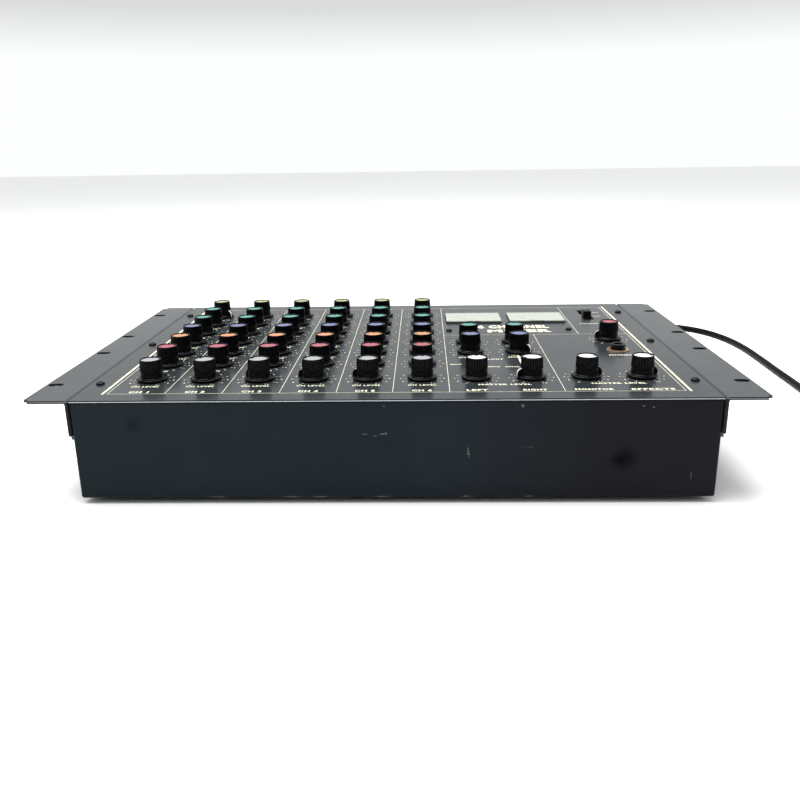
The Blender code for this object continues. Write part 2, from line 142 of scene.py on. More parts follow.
# Knob caps by row, and by name on the master side.
WHITE_CAP, GREY_CAP, RED_CAP, ORANGE_CAP, BLUE_CAP, TEAL_CAP, YELLOW_CAP = range(7)
ROW_CAPS = {
    "level": GREY_CAP,
    "pan": RED_CAP,
    "effects": ORANGE_CAP,
    "monitor": BLUE_CAP,
    "bass": TEAL_CAP,
    "treble": TEAL_CAP,
    "gain": YELLOW_CAP,
}
MASTER_CAPS = {
    "master_left": WHITE_CAP,
    "master_right": WHITE_CAP,
    "monitor_master": WHITE_CAP,
    "effects_master": WHITE_CAP,
    "effects_return_left": BLUE_CAP,
    "effects_return_right": BLUE_CAP,
    "master_bass": TEAL_CAP,
    "master_treble": TEAL_CAP,
    "phones_level": RED_CAP,
}
CAP_COLOURS = {
    WHITE_CAP: (0.66, 0.66, 0.66),
    GREY_CAP: (0.28, 0.29, 0.30),
    RED_CAP: (0.30, 0.06, 0.08),
    ORANGE_CAP: (0.48, 0.21, 0.09),
    BLUE_CAP: (0.11, 0.13, 0.25),
    TEAL_CAP: (0.06, 0.24, 0.20),
    YELLOW_CAP: (0.31, 0.33, 0.15),
}


# ---------------------------------------------------------------- materials


class Nodes:
    """The node-work that one node tree needs."""

    def __init__(self, tree):
        self.tree = tree

    def node(self, kind, **settings):
        """Adds a node and sets its properties."""
        made = self.tree.nodes.new(kind)
        for key, value in settings.items():
            setattr(made, key, value)
        return made

    def join(self, output, value):
        """Links an output to an input."""
        self.tree.links.new(output, value)

    def remap(self, value, low, high, new_low=0.0, new_high=1.0, kind="LINEAR"):
        """Spreads low..high over new_low..new_high."""
        made = self.node("ShaderNodeMapRange", interpolation_type=kind)
        numbers = {"From Min": low, "From Max": high, "To Min": new_low, "To Max": new_high}
        for key, number in numbers.items():
            made.inputs[key].default_value = number
        self.join(value, made.inputs["Value"])
        return made.outputs["Result"]

    def multiply(self, a, b):
        """The product of two outputs."""
        made = self.node("ShaderNodeMath", operation="MULTIPLY")
        self.join(a, made.inputs[0])
        self.join(b, made.inputs[1])
        return made.outputs[0]


class Finish(Nodes):
    """A Principled material, with what this scene's materials share."""

    def __init__(self, name, colour, roughness, metallic=0.0, specular=0.5):
        self.material = bpy.data.materials.new(name)
        self.material.use_nodes = True
        super().__init__(self.material.node_tree)
        self.shader = self.tree.nodes["Principled BSDF"]
        self.shader.inputs["Base Color"].default_value = (*colour, 1.0)
        self.shader.inputs["Roughness"].default_value = roughness
        self.shader.inputs["Metallic"].default_value = metallic
        self.shader.inputs["Specular IOR Level"].default_value = specular
        self.coordinates = self.node("ShaderNodeTexCoord").outputs["Object"]

    def noise(self, scale, detail=4.0):
        """Noise over the surface, from 0 to 1."""
        mapping = self.node("ShaderNodeMapping")
        self.join(self.coordinates, mapping.inputs["Vector"])
        made = self.node("ShaderNodeTexNoise")
        made.inputs["Scale"].default_value = scale
        made.inputs["Detail"].default_value = detail
        self.join(mapping.outputs["Vector"], made.inputs["Vector"])
        return made.outputs["Fac"]

    def mix_colour(self, mask, first, second):
        """Colour from first to second by mask. Each is an output or a colour."""
        made = self.node("ShaderNodeMix", data_type="RGBA")
        self.join(mask, made.inputs["Factor"])
        for key, value in ((6, first), (7, second)):
            if isinstance(value, tuple):
                made.inputs[key].default_value = (*value, 1.0)
            else:
                self.join(value, made.inputs[key])
        return made.outputs[2]

    def colour(self, output):
        """Sets the base colour from an output."""
        self.join(output, self.shader.inputs["Base Color"])

    def vary_colour(self, dark, light, scale, detail=4.0):
        """Mottles the base colour between two tones."""
        mask = self.remap(self.noise(scale, detail), 0.35, 0.65)
        mixed = self.mix_colour(mask, dark, light)
        self.colour(mixed)
        return mixed

    def vary_roughness(self, low, high, scale, detail=4.0):
        """Varies the roughness over the surface."""
        value = self.remap(self.noise(scale, detail), 0.3, 0.7, low, high)
        self.join(value, self.shader.inputs["Roughness"])

    def bump(self, height, distance, strength=1.0):
        """Adds surface relief from a height output."""
        made = self.node("ShaderNodeBump")
        made.inputs["Distance"].default_value = distance
        made.inputs["Strength"].default_value = strength
        self.join(height, made.inputs["Height"])
        self.join(made.outputs["Normal"], self.shader.inputs["Normal"])

    def streak(self, place, reach, edge=0.4):
        """A mask that is 1 inside an ellipsoid round a place, reach being its half sizes."""
        away = self.node("ShaderNodeVectorMath", operation="SUBTRACT")
        self.join(self.coordinates, away.inputs[0])
        away.inputs[1].default_value = place
        shrunk = self.node("ShaderNodeVectorMath", operation="DIVIDE")
        self.join(away.outputs["Vector"], shrunk.inputs[0])
        shrunk.inputs[1].default_value = reach
        length = self.node("ShaderNodeVectorMath", operation="LENGTH")
        self.join(shrunk.outputs["Vector"], length.inputs[0])
        return self.remap(length.outputs["Value"], 1.0 - edge, 1.0 + edge, 1.0, 0.0)

    def along(self, axis):
        """One coordinate of the surface point."""
        made = self.node("ShaderNodeSeparateXYZ")
        self.join(self.coordinates, made.inputs[0])
        return made.outputs[axis]


def panel_paint(name, gloss, arris_highlight_colour):
    """Semi-gloss dark grey enamel. Its front face carries near-black painted shade, and a thin painted
    highlight runs along its arris.
    """
    finish = Finish(name, (0.03, 0.033, 0.036), 0.22, specular=gloss)
    base = finish.vary_colour((0.019, 0.023, 0.026), (0.026, 0.030, 0.033), 22)
    dust = finish.remap(finish.noise(420, 8), 0.66, 0.78, 0.0, 0.30)
    base = finish.mix_colour(dust, base, (0.22, 0.22, 0.21))
    edge = finish.remap(finish.along("Y"), 0.0001 - HALF_DEPTH, 0.0003 - HALF_DEPTH, 1.0, 0.0)
    height = finish.along("Z")
    # A thin band near the top of the front face, coloured light as a painted highlight along the arris.
    over = finish.remap(height, PANEL_TOP - 0.0012, PANEL_TOP - 0.0011)
    under = finish.remap(height, PANEL_TOP - 0.0008, PANEL_TOP - 0.0007, 1.0, 0.0)
    arris = finish.multiply(edge, finish.multiply(over, under))
    # Painted shade: the front face is darkened to near-black.
    base = finish.mix_colour(edge, base, (0.004, 0.005, 0.006))
    finish.colour(finish.mix_colour(arris, base, arris_highlight_colour))
    rough = finish.remap(finish.noise(60, 6), 0.3, 0.7, 0.17, 0.25)
    dull = finish.remap(edge, 0.0, 1.0, 1.0, 4.0)
    finish.join(finish.multiply(rough, dull), finish.shader.inputs["Roughness"])
    finish.bump(finish.noise(1900, 2), 0.00002, 0.3)
    return finish.material


# Marks on the box's front wall: middle across and up, half sizes across and up, strength if dark.
LIGHT_MARKS = (
    (-0.0185, 0.0492, 0.0018, 0.0004),
    (-0.0120, 0.0478, 0.0012, 0.0003),
    (-0.0062, 0.0491, 0.0024, 0.0005),
    (-0.0050, 0.0500, 0.0006, 0.0008),
    (0.0484, 0.0364, 0.0004, 0.0040),
    (0.0492, 0.0345, 0.0003, 0.0018),
    (0.0831, 0.0677, 0.0011, 0.0010),
    (0.0878, 0.0397, 0.0040, 0.00012),
    (0.1598, 0.0672, 0.0009, 0.0005),
    (0.1660, 0.0665, 0.0007, 0.0004),
    (0.1938, 0.0190, 0.0003, 0.0024),
    (-0.0058, 0.0682, 0.0010, 0.0004),
)
DARK_MARKS = (
    (0.1503, 0.0311, 0.0066, 0.0066, 0.75),
    (0.1450, 0.0300, 0.0050, 0.0030, 0.30),
    (-0.1702, 0.0562, 0.0046, 0.0046, 0.35),
)
WORN_EDGE = (
    (-0.0690, 0.0060),
    (-0.0500, 0.0050),
    (-0.1180, 0.0050),
    (-0.0080, 0.0050),
    (0.0480, 0.0030),
    (0.0890, 0.0025),
)


def case_paint():
    """Blue-black enamel of the box, with scuffs, smudges, wear along its bottom edge, and painted shade
    that darkens it towards the right.
    """
    front = CASE_LOW.y
    finish = Finish("case_enamel", (0.008, 0.012, 0.016), 0.42, specular=0.10)
    blue = finish.vary_colour((0.004, 0.009, 0.013), (0.006, 0.012, 0.016), 9)
    # Painted shade: the wall darkens towards the right.
    right_shade = finish.remap(finish.along("X"), 0.02, 0.14)
    wear_and_shade = finish.mix_colour(right_shade, blue, (0.004, 0.004, 0.007))
    broken = finish.remap(finish.noise(900, 3), 0.42, 0.56)
    for x, z, across, up in LIGHT_MARKS:
        mark = finish.multiply(finish.streak((x, front, z), (across, 0.002, up)), broken)
        wear_and_shade = finish.mix_colour(mark, wear_and_shade, (0.13, 0.15, 0.16))
    rough = finish.remap(finish.noise(40, 6), 0.3, 0.7, 0.40, 0.52)
    for x, z, across, up, strength in DARK_MARKS:
        mark = finish.streak((x, front, z), (across, 0.004, up), 0.55)
        mark = finish.remap(mark, 0.0, 1.0, 0.0, strength)
        wear_and_shade = finish.mix_colour(mark, wear_and_shade, (0.0015, 0.0015, 0.002))
        rough = finish.multiply(rough, finish.remap(mark, 0.0, 1.0, 1.0, 2.0))
    finish.join(rough, finish.shader.inputs["Roughness"])
    for x, across in WORN_EDGE:
        mark = finish.streak((x, front, FOOT_HEIGHT + 0.0006), (across, 0.003, 0.0007))
        wear_and_shade = finish.mix_colour(finish.multiply(mark, broken), wear_and_shade, (0.16, 0.15, 0.12))
    finish.colour(wear_and_shade)
    finish.bump(finish.noise(1500, 2), 0.00002, 0.4)
    return finish.material


def moulded_black(name, roughness, specular=0.5):
    """Black moulded plastic, slightly dusty."""
    finish = Finish(name, (0.003, 0.003, 0.004), roughness, specular=specular)
    base = finish.vary_colour((0.002, 0.002, 0.003), (0.004, 0.004, 0.005), 260)
    dust = finish.remap(finish.noise(900, 6), 0.70, 0.82, 0.0, 0.12)
    finish.colour(finish.mix_colour(dust, base, (0.08, 0.08, 0.078)))
    finish.vary_roughness(roughness - 0.05, roughness + 0.08, 300, 4)
    finish.bump(finish.noise(2600, 2), 0.00001, 0.4)
    return finish.material


def cap_plastic(number, colour):
    """Coloured insert in a knob's top, with a fine circular grain."""
    finish = Finish(f"cap_{number}", colour, 0.34)
    dark = tuple(0.88 * part for part in colour)
    finish.vary_colour(dark, colour, 500)
    finish.vary_roughness(0.28, 0.42, 700, 3)
    finish.bump(finish.noise(3000, 2), 0.00001, 0.3)
    return finish.material


def print_paint():
    """Screen-printed cream legend ink, a little rubbed."""
    finish = Finish("legend_ink", (0.66, 0.65, 0.48), 0.5)
    finish.vary_colour((0.56, 0.55, 0.40), (0.80, 0.79, 0.60), 350)
    finish.bump(finish.noise(4000, 2), 0.00001, 0.3)
    return finish.material


def metal(name, colour, roughness, brush=0.0):
    """A metal with fine scratches. brush is the strength of its turned or brushed grain."""
    finish = Finish(name, colour, roughness, metallic=1.0)
    dark = tuple(0.75 * part for part in colour)
    finish.vary_colour(dark, colour, 380, 6)
    finish.vary_roughness(roughness - 0.06, roughness + 0.12, 500, 5)
    finish.bump(finish.noise(2200, 3), 0.00001, 0.3 + brush)
    return finish.material


def plain(name, colour, roughness, scale=300.0, specular=0.5):
    """A quiet plastic, rubber or card finish: mottled, with a fine grain."""
    finish = Finish(name, colour, roughness, specular=specular)
    dark = tuple(0.85 * part for part in colour)
    finish.vary_colour(dark, colour, scale)
    finish.vary_roughness(roughness - 0.05, roughness + 0.06, 2 * scale)
    finish.bump(finish.noise(5 * scale, 2), 0.00001, 0.4)
    return finish.material


def lens_plastic():
    """The meters' clear lens: light passes straight through it, and its face mirrors the backdrop."""
    finish = Finish("lens", (0.80, 0.84, 0.76), 0.05, specular=0.6)
    finish.shader.inputs["Alpha"].default_value = 0.25
    finish.vary_roughness(0.03, 0.08, 500, 3)
    return finish.material


# The last argument is the colour of the painted highlight along the front arris.
PANEL_PAINT = panel_paint("panel_enamel", 0.24, (0.62, 0.66, 0.72))
EAR_PAINT = panel_paint("ear_enamel", 0.40, (0.20, 0.22, 0.25))
CASE_PAINT = case_paint()
KNOB_BLACK = moulded_black("knob_black", 0.20, 0.09)
SWITCH_BLACK = moulded_black("switch_black", 0.24, 0.25)
SCREW_BLACK = metal("blackened_steel", (0.020, 0.020, 0.023), 0.34)
CAPS = {number: cap_plastic(number, colour) for number, colour in CAP_COLOURS.items()}
POINTER_WHITE = plain("pointer_white", (0.80, 0.78, 0.70), 0.45)
LEGEND = print_paint()
BRASS = metal("brass_washer", (0.55, 0.40, 0.24), 0.40, 0.3)
NICKEL = metal("nickel", (0.62, 0.61, 0.58), 0.26, 0.2)
METER_CARD = plain("meter_card", (0.26, 0.285, 0.235), 0.55)
METER_INK = plain("meter_ink", (0.02, 0.02, 0.02), 0.5)
METER_RED = plain("meter_red", (0.60, 0.05, 0.03), 0.5)
METER_CASE = plain("meter_case", (0.05, 0.055, 0.05), 0.35)
LENS = lens_plastic()
SWITCH_PLATE = metal("switch_plate", (0.62, 0.63, 0.64), 0.42, 0.3)
RUBBER = plain("foot_rubber", (0.010, 0.010, 0.011), 0.62, specular=0.3)
CORD_RUBBER = plain("cord_rubber", (0.002, 0.002, 0.003), 0.42, 200.0, 0.06)
BOARD = plain("circuit_board", (0.05, 0.11, 0.04), 0.5)
CAN_METAL = metal("can_metal", (0.45, 0.45, 0.44), 0.38)
LAMINATION = metal("lamination", (0.16, 0.15, 0.14), 0.5)
COIL_TAPE = plain("winding_tape", (0.45, 0.30, 0.06), 0.5)
CAPACITOR_SLEEVE = plain("capacitor_sleeve", (0.02, 0.03, 0.10), 0.4)
JACK_RIM = metal("jack_rim", (0.06, 0.06, 0.06), 0.35)


# ---------------------------------------------------------------- building blocks


def link(made):
    """Puts an object into the scene."""
    bpy.context.scene.collection.objects.link(made)


def add_piece(name, data, finishes, body="housing", place=None):
    """Links a piece, gives it its finishes and lets it ride on a CAD body."""
    made = bpy.data.objects.new(name, data)
    link(made)
    for finish in finishes:
        data.materials.append(finish)
    if place is not None:
        made.matrix_world = place
    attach(made, body)
    return made


def mesh_data(name, mesh, sharp=35.0):
    """Turns a bmesh into mesh data, shaded smooth but for its sharp edges."""
    bmesh.ops.recalc_face_normals(mesh, faces=mesh.faces[:])
    data = bpy.data.meshes.new(name)
    mesh.to_mesh(data)
    mesh.free()
    data.shade_smooth()
    data.set_sharp_from_angle(angle=math.radians(sharp))
    return data


def add_solid(name, mesh, finishes, place=None, replaces=None, body="housing", sharp=35.0):
    """Turns a bmesh into a piece. replaces names the CAD node that it stands in for."""
    made = add_piece(name, mesh_data(name, mesh, sharp), finishes, body, place)
    if replaces:
        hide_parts(replaces)
    return made


def add_box(mesh, low, high, index=0):
    """Adds a box between two corners."""
    size = [b - a for a, b in zip(low, high)]
    middle = [(a + b) / 2 for a, b in zip(low, high)]
    place = Matrix.Translation(middle) @ Matrix.Diagonal((*size, 1.0))
    made = bmesh.ops.create_cube(mesh, size=1.0, matrix=place)
    for face in {f for v in made["verts"] for f in v.link_faces}:
        face.material_index = index
    return made["verts"]


def add_turned(mesh, profile, sides, place=Matrix(), index=0, closed=False, radius_at=None):
    """Adds the surface that (radius, height) points sweep about Z, and returns its faces by ring.
    A radius of 0 ends in a point, and closed joins the last point to the first."""
    rings = []
    for number, (radius, height) in enumerate(profile):
        count = 1 if radius == 0 else sides
        ring = []
        for side in range(count):
            angle = 2 * math.pi * side / sides
            reach = radius if radius_at is None else radius_at(number, radius, angle)
            point = Vector((reach * math.cos(angle), reach * math.sin(angle), height))
            ring.append(mesh.verts.new(place @ point))
        rings.append(ring)
    pairs = list(zip(rings, rings[1:]))
    if closed:
        pairs.append((rings[-1], rings[0]))
    faces = []
    for low, high in pairs:
        row = []
        for side in range(sides):
            after = (side + 1) % sides
            corners = [
                low[side % len(low)],
                low[after % len(low)],
                high[after % len(high)],
                high[side % len(high)],
            ]
            face = mesh.faces.new(list(dict.fromkeys(corners)))
            face.material_index = index
            row.append(face)
        faces.append(row)
    return faces


def towards(direction):
    """The turn that points Z along a direction."""
    return Vector(direction).to_track_quat("Z", "Y").to_matrix().to_4x4()


def add_cylinder(mesh, start, end, radius, sides, index=0, end_radius=None):
    """Adds a cylinder or cone from start to end."""
    start = Vector(start)
    axis = Vector(end) - start
    top = radius if end_radius is None else end_radius
    profile = ((0, 0), (radius, 0), (top, axis.length), (0, axis.length))
    add_turned(mesh, profile, sides, Matrix.Translation(start) @ towards(axis), index)


def bridge(mesh, rings, looped=False):
    """Joins each ring of vertices to the next. The ends are capped, or joined to each other if looped."""
    pairs = list(zip(rings, rings[1:]))
    if looped:
        pairs.append((rings[-1], rings[0]))
    for low, high in pairs:
        for side in range(len(low)):
            after = (side + 1) % len(low)
            mesh.faces.new((low[side], low[after], high[after], high[side]))
    if not looped:
        mesh.faces.new(rings[0])
        mesh.faces.new(rings[-1])


def rounded_outline(sides, half_width, half_height, power):
    """Points of a rectangle with rounded sides, about the origin. A power of 1 makes an ellipse."""
    points = []
    for side in range(sides):
        angle = 2 * math.pi * side / sides
        wide = math.copysign(abs(math.cos(angle)) ** power, math.cos(angle)) * half_width
        tall = math.copysign(abs(math.sin(angle)) ** power, math.sin(angle)) * half_height
        points.append((wide, tall))
    return points


def cut(piece, name, fill, place=Matrix()):
    """Cuts from a piece the shape that fill adds to a bmesh, which stands at place."""
    mesh = bmesh.new()
    fill(mesh)
    tool = bpy.data.objects.new(name, mesh_data(name, mesh))
    link(tool)
    tool.matrix_world = place
    modifier = piece.modifiers.new(name, "BOOLEAN")
    modifier.operation = "DIFFERENCE"
    modifier.object = tool
    bpy.context.view_layer.update()
    apply_modifiers(piece)
    bpy.data.objects.remove(tool)


def apply_modifiers(piece):
    """Replaces the piece's mesh by what its modifiers make."""
    graph = bpy.context.evaluated_depsgraph_get()
    made = bpy.data.meshes.new_from_object(piece.evaluated_get(graph))
    piece.modifiers.clear()
    piece.data = made


def even_normals(piece, angle=40.0):
    """Shades a piece smooth but keeps its large faces flat and its sharp edges sharp."""
    piece.data.shade_smooth()
    piece.data.set_sharp_from_angle(angle=math.radians(angle))
    modifier = piece.modifiers.new("normals", "WEIGHTED_NORMAL")
    modifier.keep_sharp = True
    modifier.weight = 100
    apply_modifiers(piece)


def soften(piece, width, segments=2, angle=40.0):
    """Rounds the sharp edges of a piece and shades it smooth."""
    modifier = piece.modifiers.new("soften", "BEVEL")
    modifier.width = width
    modifier.segments = segments
    modifier.limit_method = "ANGLE"
    modifier.angle_limit = math.radians(angle)
    modifier.use_clamp_overlap = True
    apply_modifiers(piece)
    even_normals(piece, angle)


# ---------------------------------------------------------------- knobs

# Half section of a knob from its shaft up to its top: radius and height.
KNOB_PROFILE = (
    (0.0000, -0.0024),
    (0.0030, -0.0024),
    (0.0030, 0.0007),
    (0.0100, 0.0007),
    (0.0104, 0.0010),
    (0.0106, 0.0015),
    (0.0104, 0.0020),
    (0.0100, 0.0023),
    (0.0092, 0.0024),
    (0.0081, 0.0024),
    (0.0077, 0.0028),
    (0.0076, 0.0062),
    (0.0075, 0.0065),
    (0.0073, 0.0067),
    (0.0073, 0.0071),
    (0.0078, 0.0074),
    (0.0078, 0.0079),
    (0.0076, 0.0113),
    (0.0074, 0.0147),
    (0.0073, 0.0152),
    (0.0070, 0.0155),
    (0.0067, 0.0155),
    (0.0066, 0.0152),
    (0.0065, 0.0148),
    (0.0064, 0.0147),
    (0.0059, 0.0149),
    (0.0040, 0.0150),
    (0.0000, 0.0150),
)
KNOB_SIDES = 144
FLUTED_POINTS = range(16, 19)
FLUTES = 24
FLUTE_DEPTH = 0.0005
CAP_RING = 24
NOTCH_RINGS = (24, 25)
NOTCH_HALF_SIDES = 5
FIN_ROOT = 0.0074
FIN_END = 0.0108
FIN_TOP = 0.0073
FIN_FOOT = 0.0014
FIN_STEPS = 10
FIN_ROWS = (-0.0015, -0.0007, 0.0007, 0.0015)


def flute_radius(number, radius, angle):
    """The knob's radius at an angle: narrow grooves run up its grip."""
    if number not in FLUTED_POINTS:
        return radius
    return radius - FLUTE_DEPTH * (0.5 + 0.5 * math.cos(FLUTES * angle)) ** 3


def add_fin(mesh):
    """The pointer: a rounded fin from the grip's groove out to the skirt, with a white crown."""
    section = []
    for step in range(FIN_STEPS + 1):
        turn = math.pi / 2 * step / FIN_STEPS
        out = FIN_ROOT + (FIN_END - FIN_ROOT) * math.sin(turn)
        section.append((out, 0.0034 + (FIN_TOP - 0.0034) * math.cos(turn), True))
    section += [(FIN_END, FIN_FOOT, False), (0.0070, FIN_FOOT, False), (0.0070, FIN_TOP, False)]
    rows = []
    for x in FIN_ROWS:
        outer = abs(x) == FIN_ROWS[-1]
        row = []
        for out, height, crown in section:
            drop = 0.0003 if outer and crown else 0.0
            row.append(mesh.verts.new((x, out - 0.6 * drop, height - drop)))
        rows.append(row)
    count = len(section)
    for strip, (left, right) in enumerate(zip(rows, rows[1:])):
        for i in range(count):
            after = (i + 1) % count
            face = mesh.faces.new((left[i], left[after], right[after], right[i]))
            face.material_index = 2 if strip == 1 and i < FIN_STEPS + 1 else 0
    mesh.faces.new(rows[0])
    mesh.faces.new(rows[-1])


def knob_mesh():
    """One knob, its pointer towards +Y, with finishes 0 black, 1 cap and 2 white."""
    mesh = bmesh.new()
    rings = add_turned(mesh, KNOB_PROFILE, KNOB_SIDES, radius_at=flute_radius)
    for number, row in enumerate(rings):
        if number < CAP_RING:
            continue
        for side, face in enumerate(row):
            away = abs(side + 0.5 - KNOB_SIDES / 4)
            notch = number in NOTCH_RINGS and away < NOTCH_HALF_SIDES
            face.material_index = 0 if notch else 1
    add_fin(mesh)
    return mesh


def add_knobs():
    """Every knob, turned to where its joint's range says that its pointer stands."""
    for joint in frame["joints"]:
        if joint["type"] != "hinge":
            continue
        knob = joint["child"]
        cap = MASTER_CAPS.get(knob)
        if cap is None:
            cap = ROW_CAPS[knob.split("_")[1]]
        pointer = -math.radians(sum(joint["range_deg"]) / 2)
        place = Matrix.Translation(joint["pos_m"]) @ Matrix.Rotation(pointer, 4, "Z")
        finishes = (KNOB_BLACK, CAPS[cap], POINTER_WHITE)
        name = f"{knob}_moulding"
        add_solid(name, knob_mesh(), finishes, place, f"{knob}_knob", knob, sharp=30)


# ---------------------------------------------------------------- sheet metal


def add_panel():
    """The control panel, with its shaft holes, windows and rounded edges."""
    mesh = bmesh.new()
    trim = Vector((SIDE_GAP, 0, 0))
    add_box(mesh, PLATE_LOW + trim, PLATE_HIGH - trim)
    panel = add_solid("control_panel", mesh, (PANEL_PAINT,), replaces="faceplate")
    soften(panel, 0.00025, 3)
    under = PLATE_LOW.z - 0.001
    above = PANEL_TOP + 0.001

    def fill(tool):
        for joint in frame["joints"]:
            if joint["type"] == "hinge":
                x, y, _ = joint["pos_m"]
                add_cylinder(tool, (x, y, under), (x, y, above), 0.0045, 24)
        x, y = JACK_PLACE
        add_cylinder(tool, (x, y, under), (x, y, above), JACK_RADIUS + 0.0004, 40)
        windows = [(place, METER_WINDOW) for place in METER_PLACES]
        for (x, y), (width, height) in [*windows, (SWITCH_PLACE, SWITCH_SLOT)]:
            low = (x - width / 2, y - height / 2, under)
            add_box(tool, low, (x + width / 2, y + height / 2, above))

    cut(panel, "panel_holes", fill)
    even_normals(panel)


def ear_section(side):
    """Section of an ear across X and Z, with a smooth bend at its inner top edge."""
    inside = EAR_FLANGE_OUTSIDE - EAR_GAUGE
    bottom = PANEL_TOP - EAR_FLANGE_DROP
    bend = 0.0022
    steps = 8
    section = [(RACK_HALF_WIDTH, PANEL_TOP)]
    for step in range(steps + 1):
        angle = math.radians(90 + 90 * step / steps)
        section.append((inside + bend * (1 + math.cos(angle)), PANEL_TOP - bend * (1 - math.sin(angle))))
    section += [(inside, bottom), (EAR_FLANGE_OUTSIDE, bottom)]
    section += [(EAR_FLANGE_OUTSIDE, PANEL_TOP - EAR_GAUGE - 0.0006)]
    section += [(EAR_FLANGE_OUTSIDE + 0.0006, PANEL_TOP - EAR_GAUGE)]
    section += [(RACK_HALF_WIDTH, PANEL_TOP - EAR_GAUGE)]
    return [(side * x, z) for x, z in section]


def add_ear(name, node, side):
    """One rack ear: the section drawn along Y, its corners rounded and its slots cut."""
    mesh = bmesh.new()
    face = mesh.faces.new([mesh.verts.new((x, -HALF_DEPTH, z)) for x, z in ear_section(side)])
    drawn = bmesh.ops.extrude_face_region(mesh, geom=[face])["geom"]
    moved = [v for v in drawn if isinstance(v, bmesh.types.BMVert)]
    bmesh.ops.translate(mesh, vec=(0, 2 * HALF_DEPTH, 0), verts=moved)
    corners = []
    for edge in mesh.edges:
        a, b = (v.co for v in edge.verts)
        outer = min(abs(a.x), abs(b.x)) > RACK_HALF_WIDTH - 0.0001
        lower = max(a.z, b.z) < PANEL_TOP - EAR_FLANGE_DROP + 0.0001
        if abs(a.y - b.y) < 0.0001 and (outer or lower):
            corners.append(edge)
    bmesh.ops.bevel(mesh, geom=corners, offset=EAR_CORNER, segments=6, affect="EDGES")
    ear = add_solid(name, mesh, (EAR_PAINT, CASE_PAINT), replaces=node)

    def fill(tool):
        reach = (SLOT_SIZE[0] - SLOT_SIZE[1]) / 2
        radius = SLOT_SIZE[1] / 2
        for y in SLOT_ROWS:
            outline = []
            for end, start in ((1, -90), (-1, 90)):
                for step in range(13):
                    angle = math.radians(start + 15 * step)
                    x = side * SLOT_COLUMN + end * reach + radius * math.cos(angle)
                    outline.append((x, y + radius * math.sin(angle), PANEL_TOP - 0.004))
            slot_face = tool.faces.new([tool.verts.new(point) for point in outline])
            lifted = bmesh.ops.extrude_face_region(tool, geom=[slot_face])["geom"]
            raised = [v for v in lifted if isinstance(v, bmesh.types.BMVert)]
            bmesh.ops.translate(tool, vec=(0, 0, 0.006), verts=raised)

    cut(ear, f"{name}_slots", fill)
    soften(ear, 0.00022, 2, 50)
    # The slot walls take the box's darker enamel as painted shade inside the slots.
    for polygon in ear.data.polygons:
        x, y, _ = polygon.center
        in_slot = abs(abs(x) - SLOT_COLUMN) < 0.6 * SLOT_SIZE[0]
        in_slot = in_slot and min(abs(y - row) for row in SLOT_ROWS) < 0.6 * SLOT_SIZE[1]
        if in_slot and abs(polygon.normal.z) < 0.5:
            polygon.material_index = 1


def add_case():
    """The folded steel box: rounded folds, and a lip round its open top that carries the panel."""
    mesh = bmesh.new()
    low = Vector((CASE_LOW.x, CASE_LOW.y, FOOT_HEIGHT))
    high = Vector((CASE_HIGH.x, CASE_BACK, CASE_HIGH.z))
    add_box(mesh, low, high)
    folds = [e for e in mesh.edges if min(v.co.z for v in e.verts) < high.z - 0.001]
    bmesh.ops.bevel(mesh, geom=folds, offset=0.0016, segments=4, affect="EDGES", profile=0.5)
    top = [f for f in mesh.faces if f.normal.z > 0.9 and f.calc_center_median().z > high.z - 0.001]
    bmesh.ops.inset_region(mesh, faces=top, thickness=LIP)
    inner = [f for f in mesh.faces if f.normal.z > 0.9 and f.calc_center_median().z > high.z - 0.001]
    lid = min(inner, key=lambda f: (f.calc_center_median() - Vector((0, 0, high.z))).length)
    bmesh.ops.delete(mesh, geom=[lid], context="FACES")
    case = add_solid("case_shell", mesh, (CASE_PAINT,), replaces="chassis")
    wall = case.modifiers.new("wall", "SOLIDIFY")
    wall.thickness = SHEET
    wall.offset = -1.0
    apply_modifiers(case)

    def fill(tool):
        for x, z in SOCKET_PLACES:
            add_cylinder(tool, (x, CASE_BACK - 0.01, z), (x, CASE_BACK + 0.01, z), 0.0052, 32)
        low_end = GLAND - Vector((0, 0.01, 0))
        add_cylinder(tool, low_end, GLAND + Vector((0, 0.01, 0)), 0.0064, 32)

    cut(case, "rear_holes", fill)
    even_normals(case)


def add_feet():
    """Four rubber feet, each with a recess for a screw under its middle."""
    profile = (
        (0, 0.0008),
        (0.0018, 0.0008),
        (0.0022, 0.0),
        (0.0064, 0.0),
        (0.0069, 0.0005),
        (FOOT_RADIUS, 0.0013),
        (0.0066, FOOT_HEIGHT),
        (0, FOOT_HEIGHT),
    )
    for across in (CASE_LOW.x + FOOT_INSET, CASE_HIGH.x - FOOT_INSET):
        for along in (CASE_LOW.y + FOOT_INSET, CASE_BACK - FOOT_INSET):
            mesh = bmesh.new()
            place = Matrix.Translation((across, along, 0))
            add_turned(mesh, profile, 40, place)
            side = "left" if across < 0 else "right"
            end = "front" if along < 0 else "rear"
            add_solid(f"foot_{end}_{side}", mesh, (RUBBER,))


def add_screw(name, place, radius):
    """A pan-head screw with a cross recess, standing on the panel."""
    mesh = bmesh.new()
    dome = [(0, 0), (radius, 0), (radius, 0.25 * radius)]
    for step in range(1, 6):
        turn = math.pi / 2 * step / 6
        dome.append((radius * math.cos(turn) ** 0.7, radius * (0.25 + 0.38 * math.sin(turn))))
    dome.append((0, 0.63 * radius))
    stand = Matrix.Translation(place) @ towards((0, 0, 1)) @ Matrix.Rotation(0.5, 4, "Z")
    add_turned(mesh, dome, 40)
    screw = add_solid(name, mesh, (SCREW_BLACK,), stand)

    for part, (across, along) in enumerate(((0.62, 0.12), (0.12, 0.62))):

        def fill(tool, a=across * radius, b=along * radius):
            add_box(tool, (-a, -b, 0.25 * radius), (a, b, radius))

        cut(screw, f"{name}_recess_{part}", fill, stand)
    screw.data.shade_smooth()
    screw.data.set_sharp_from_angle(angle=math.radians(35))


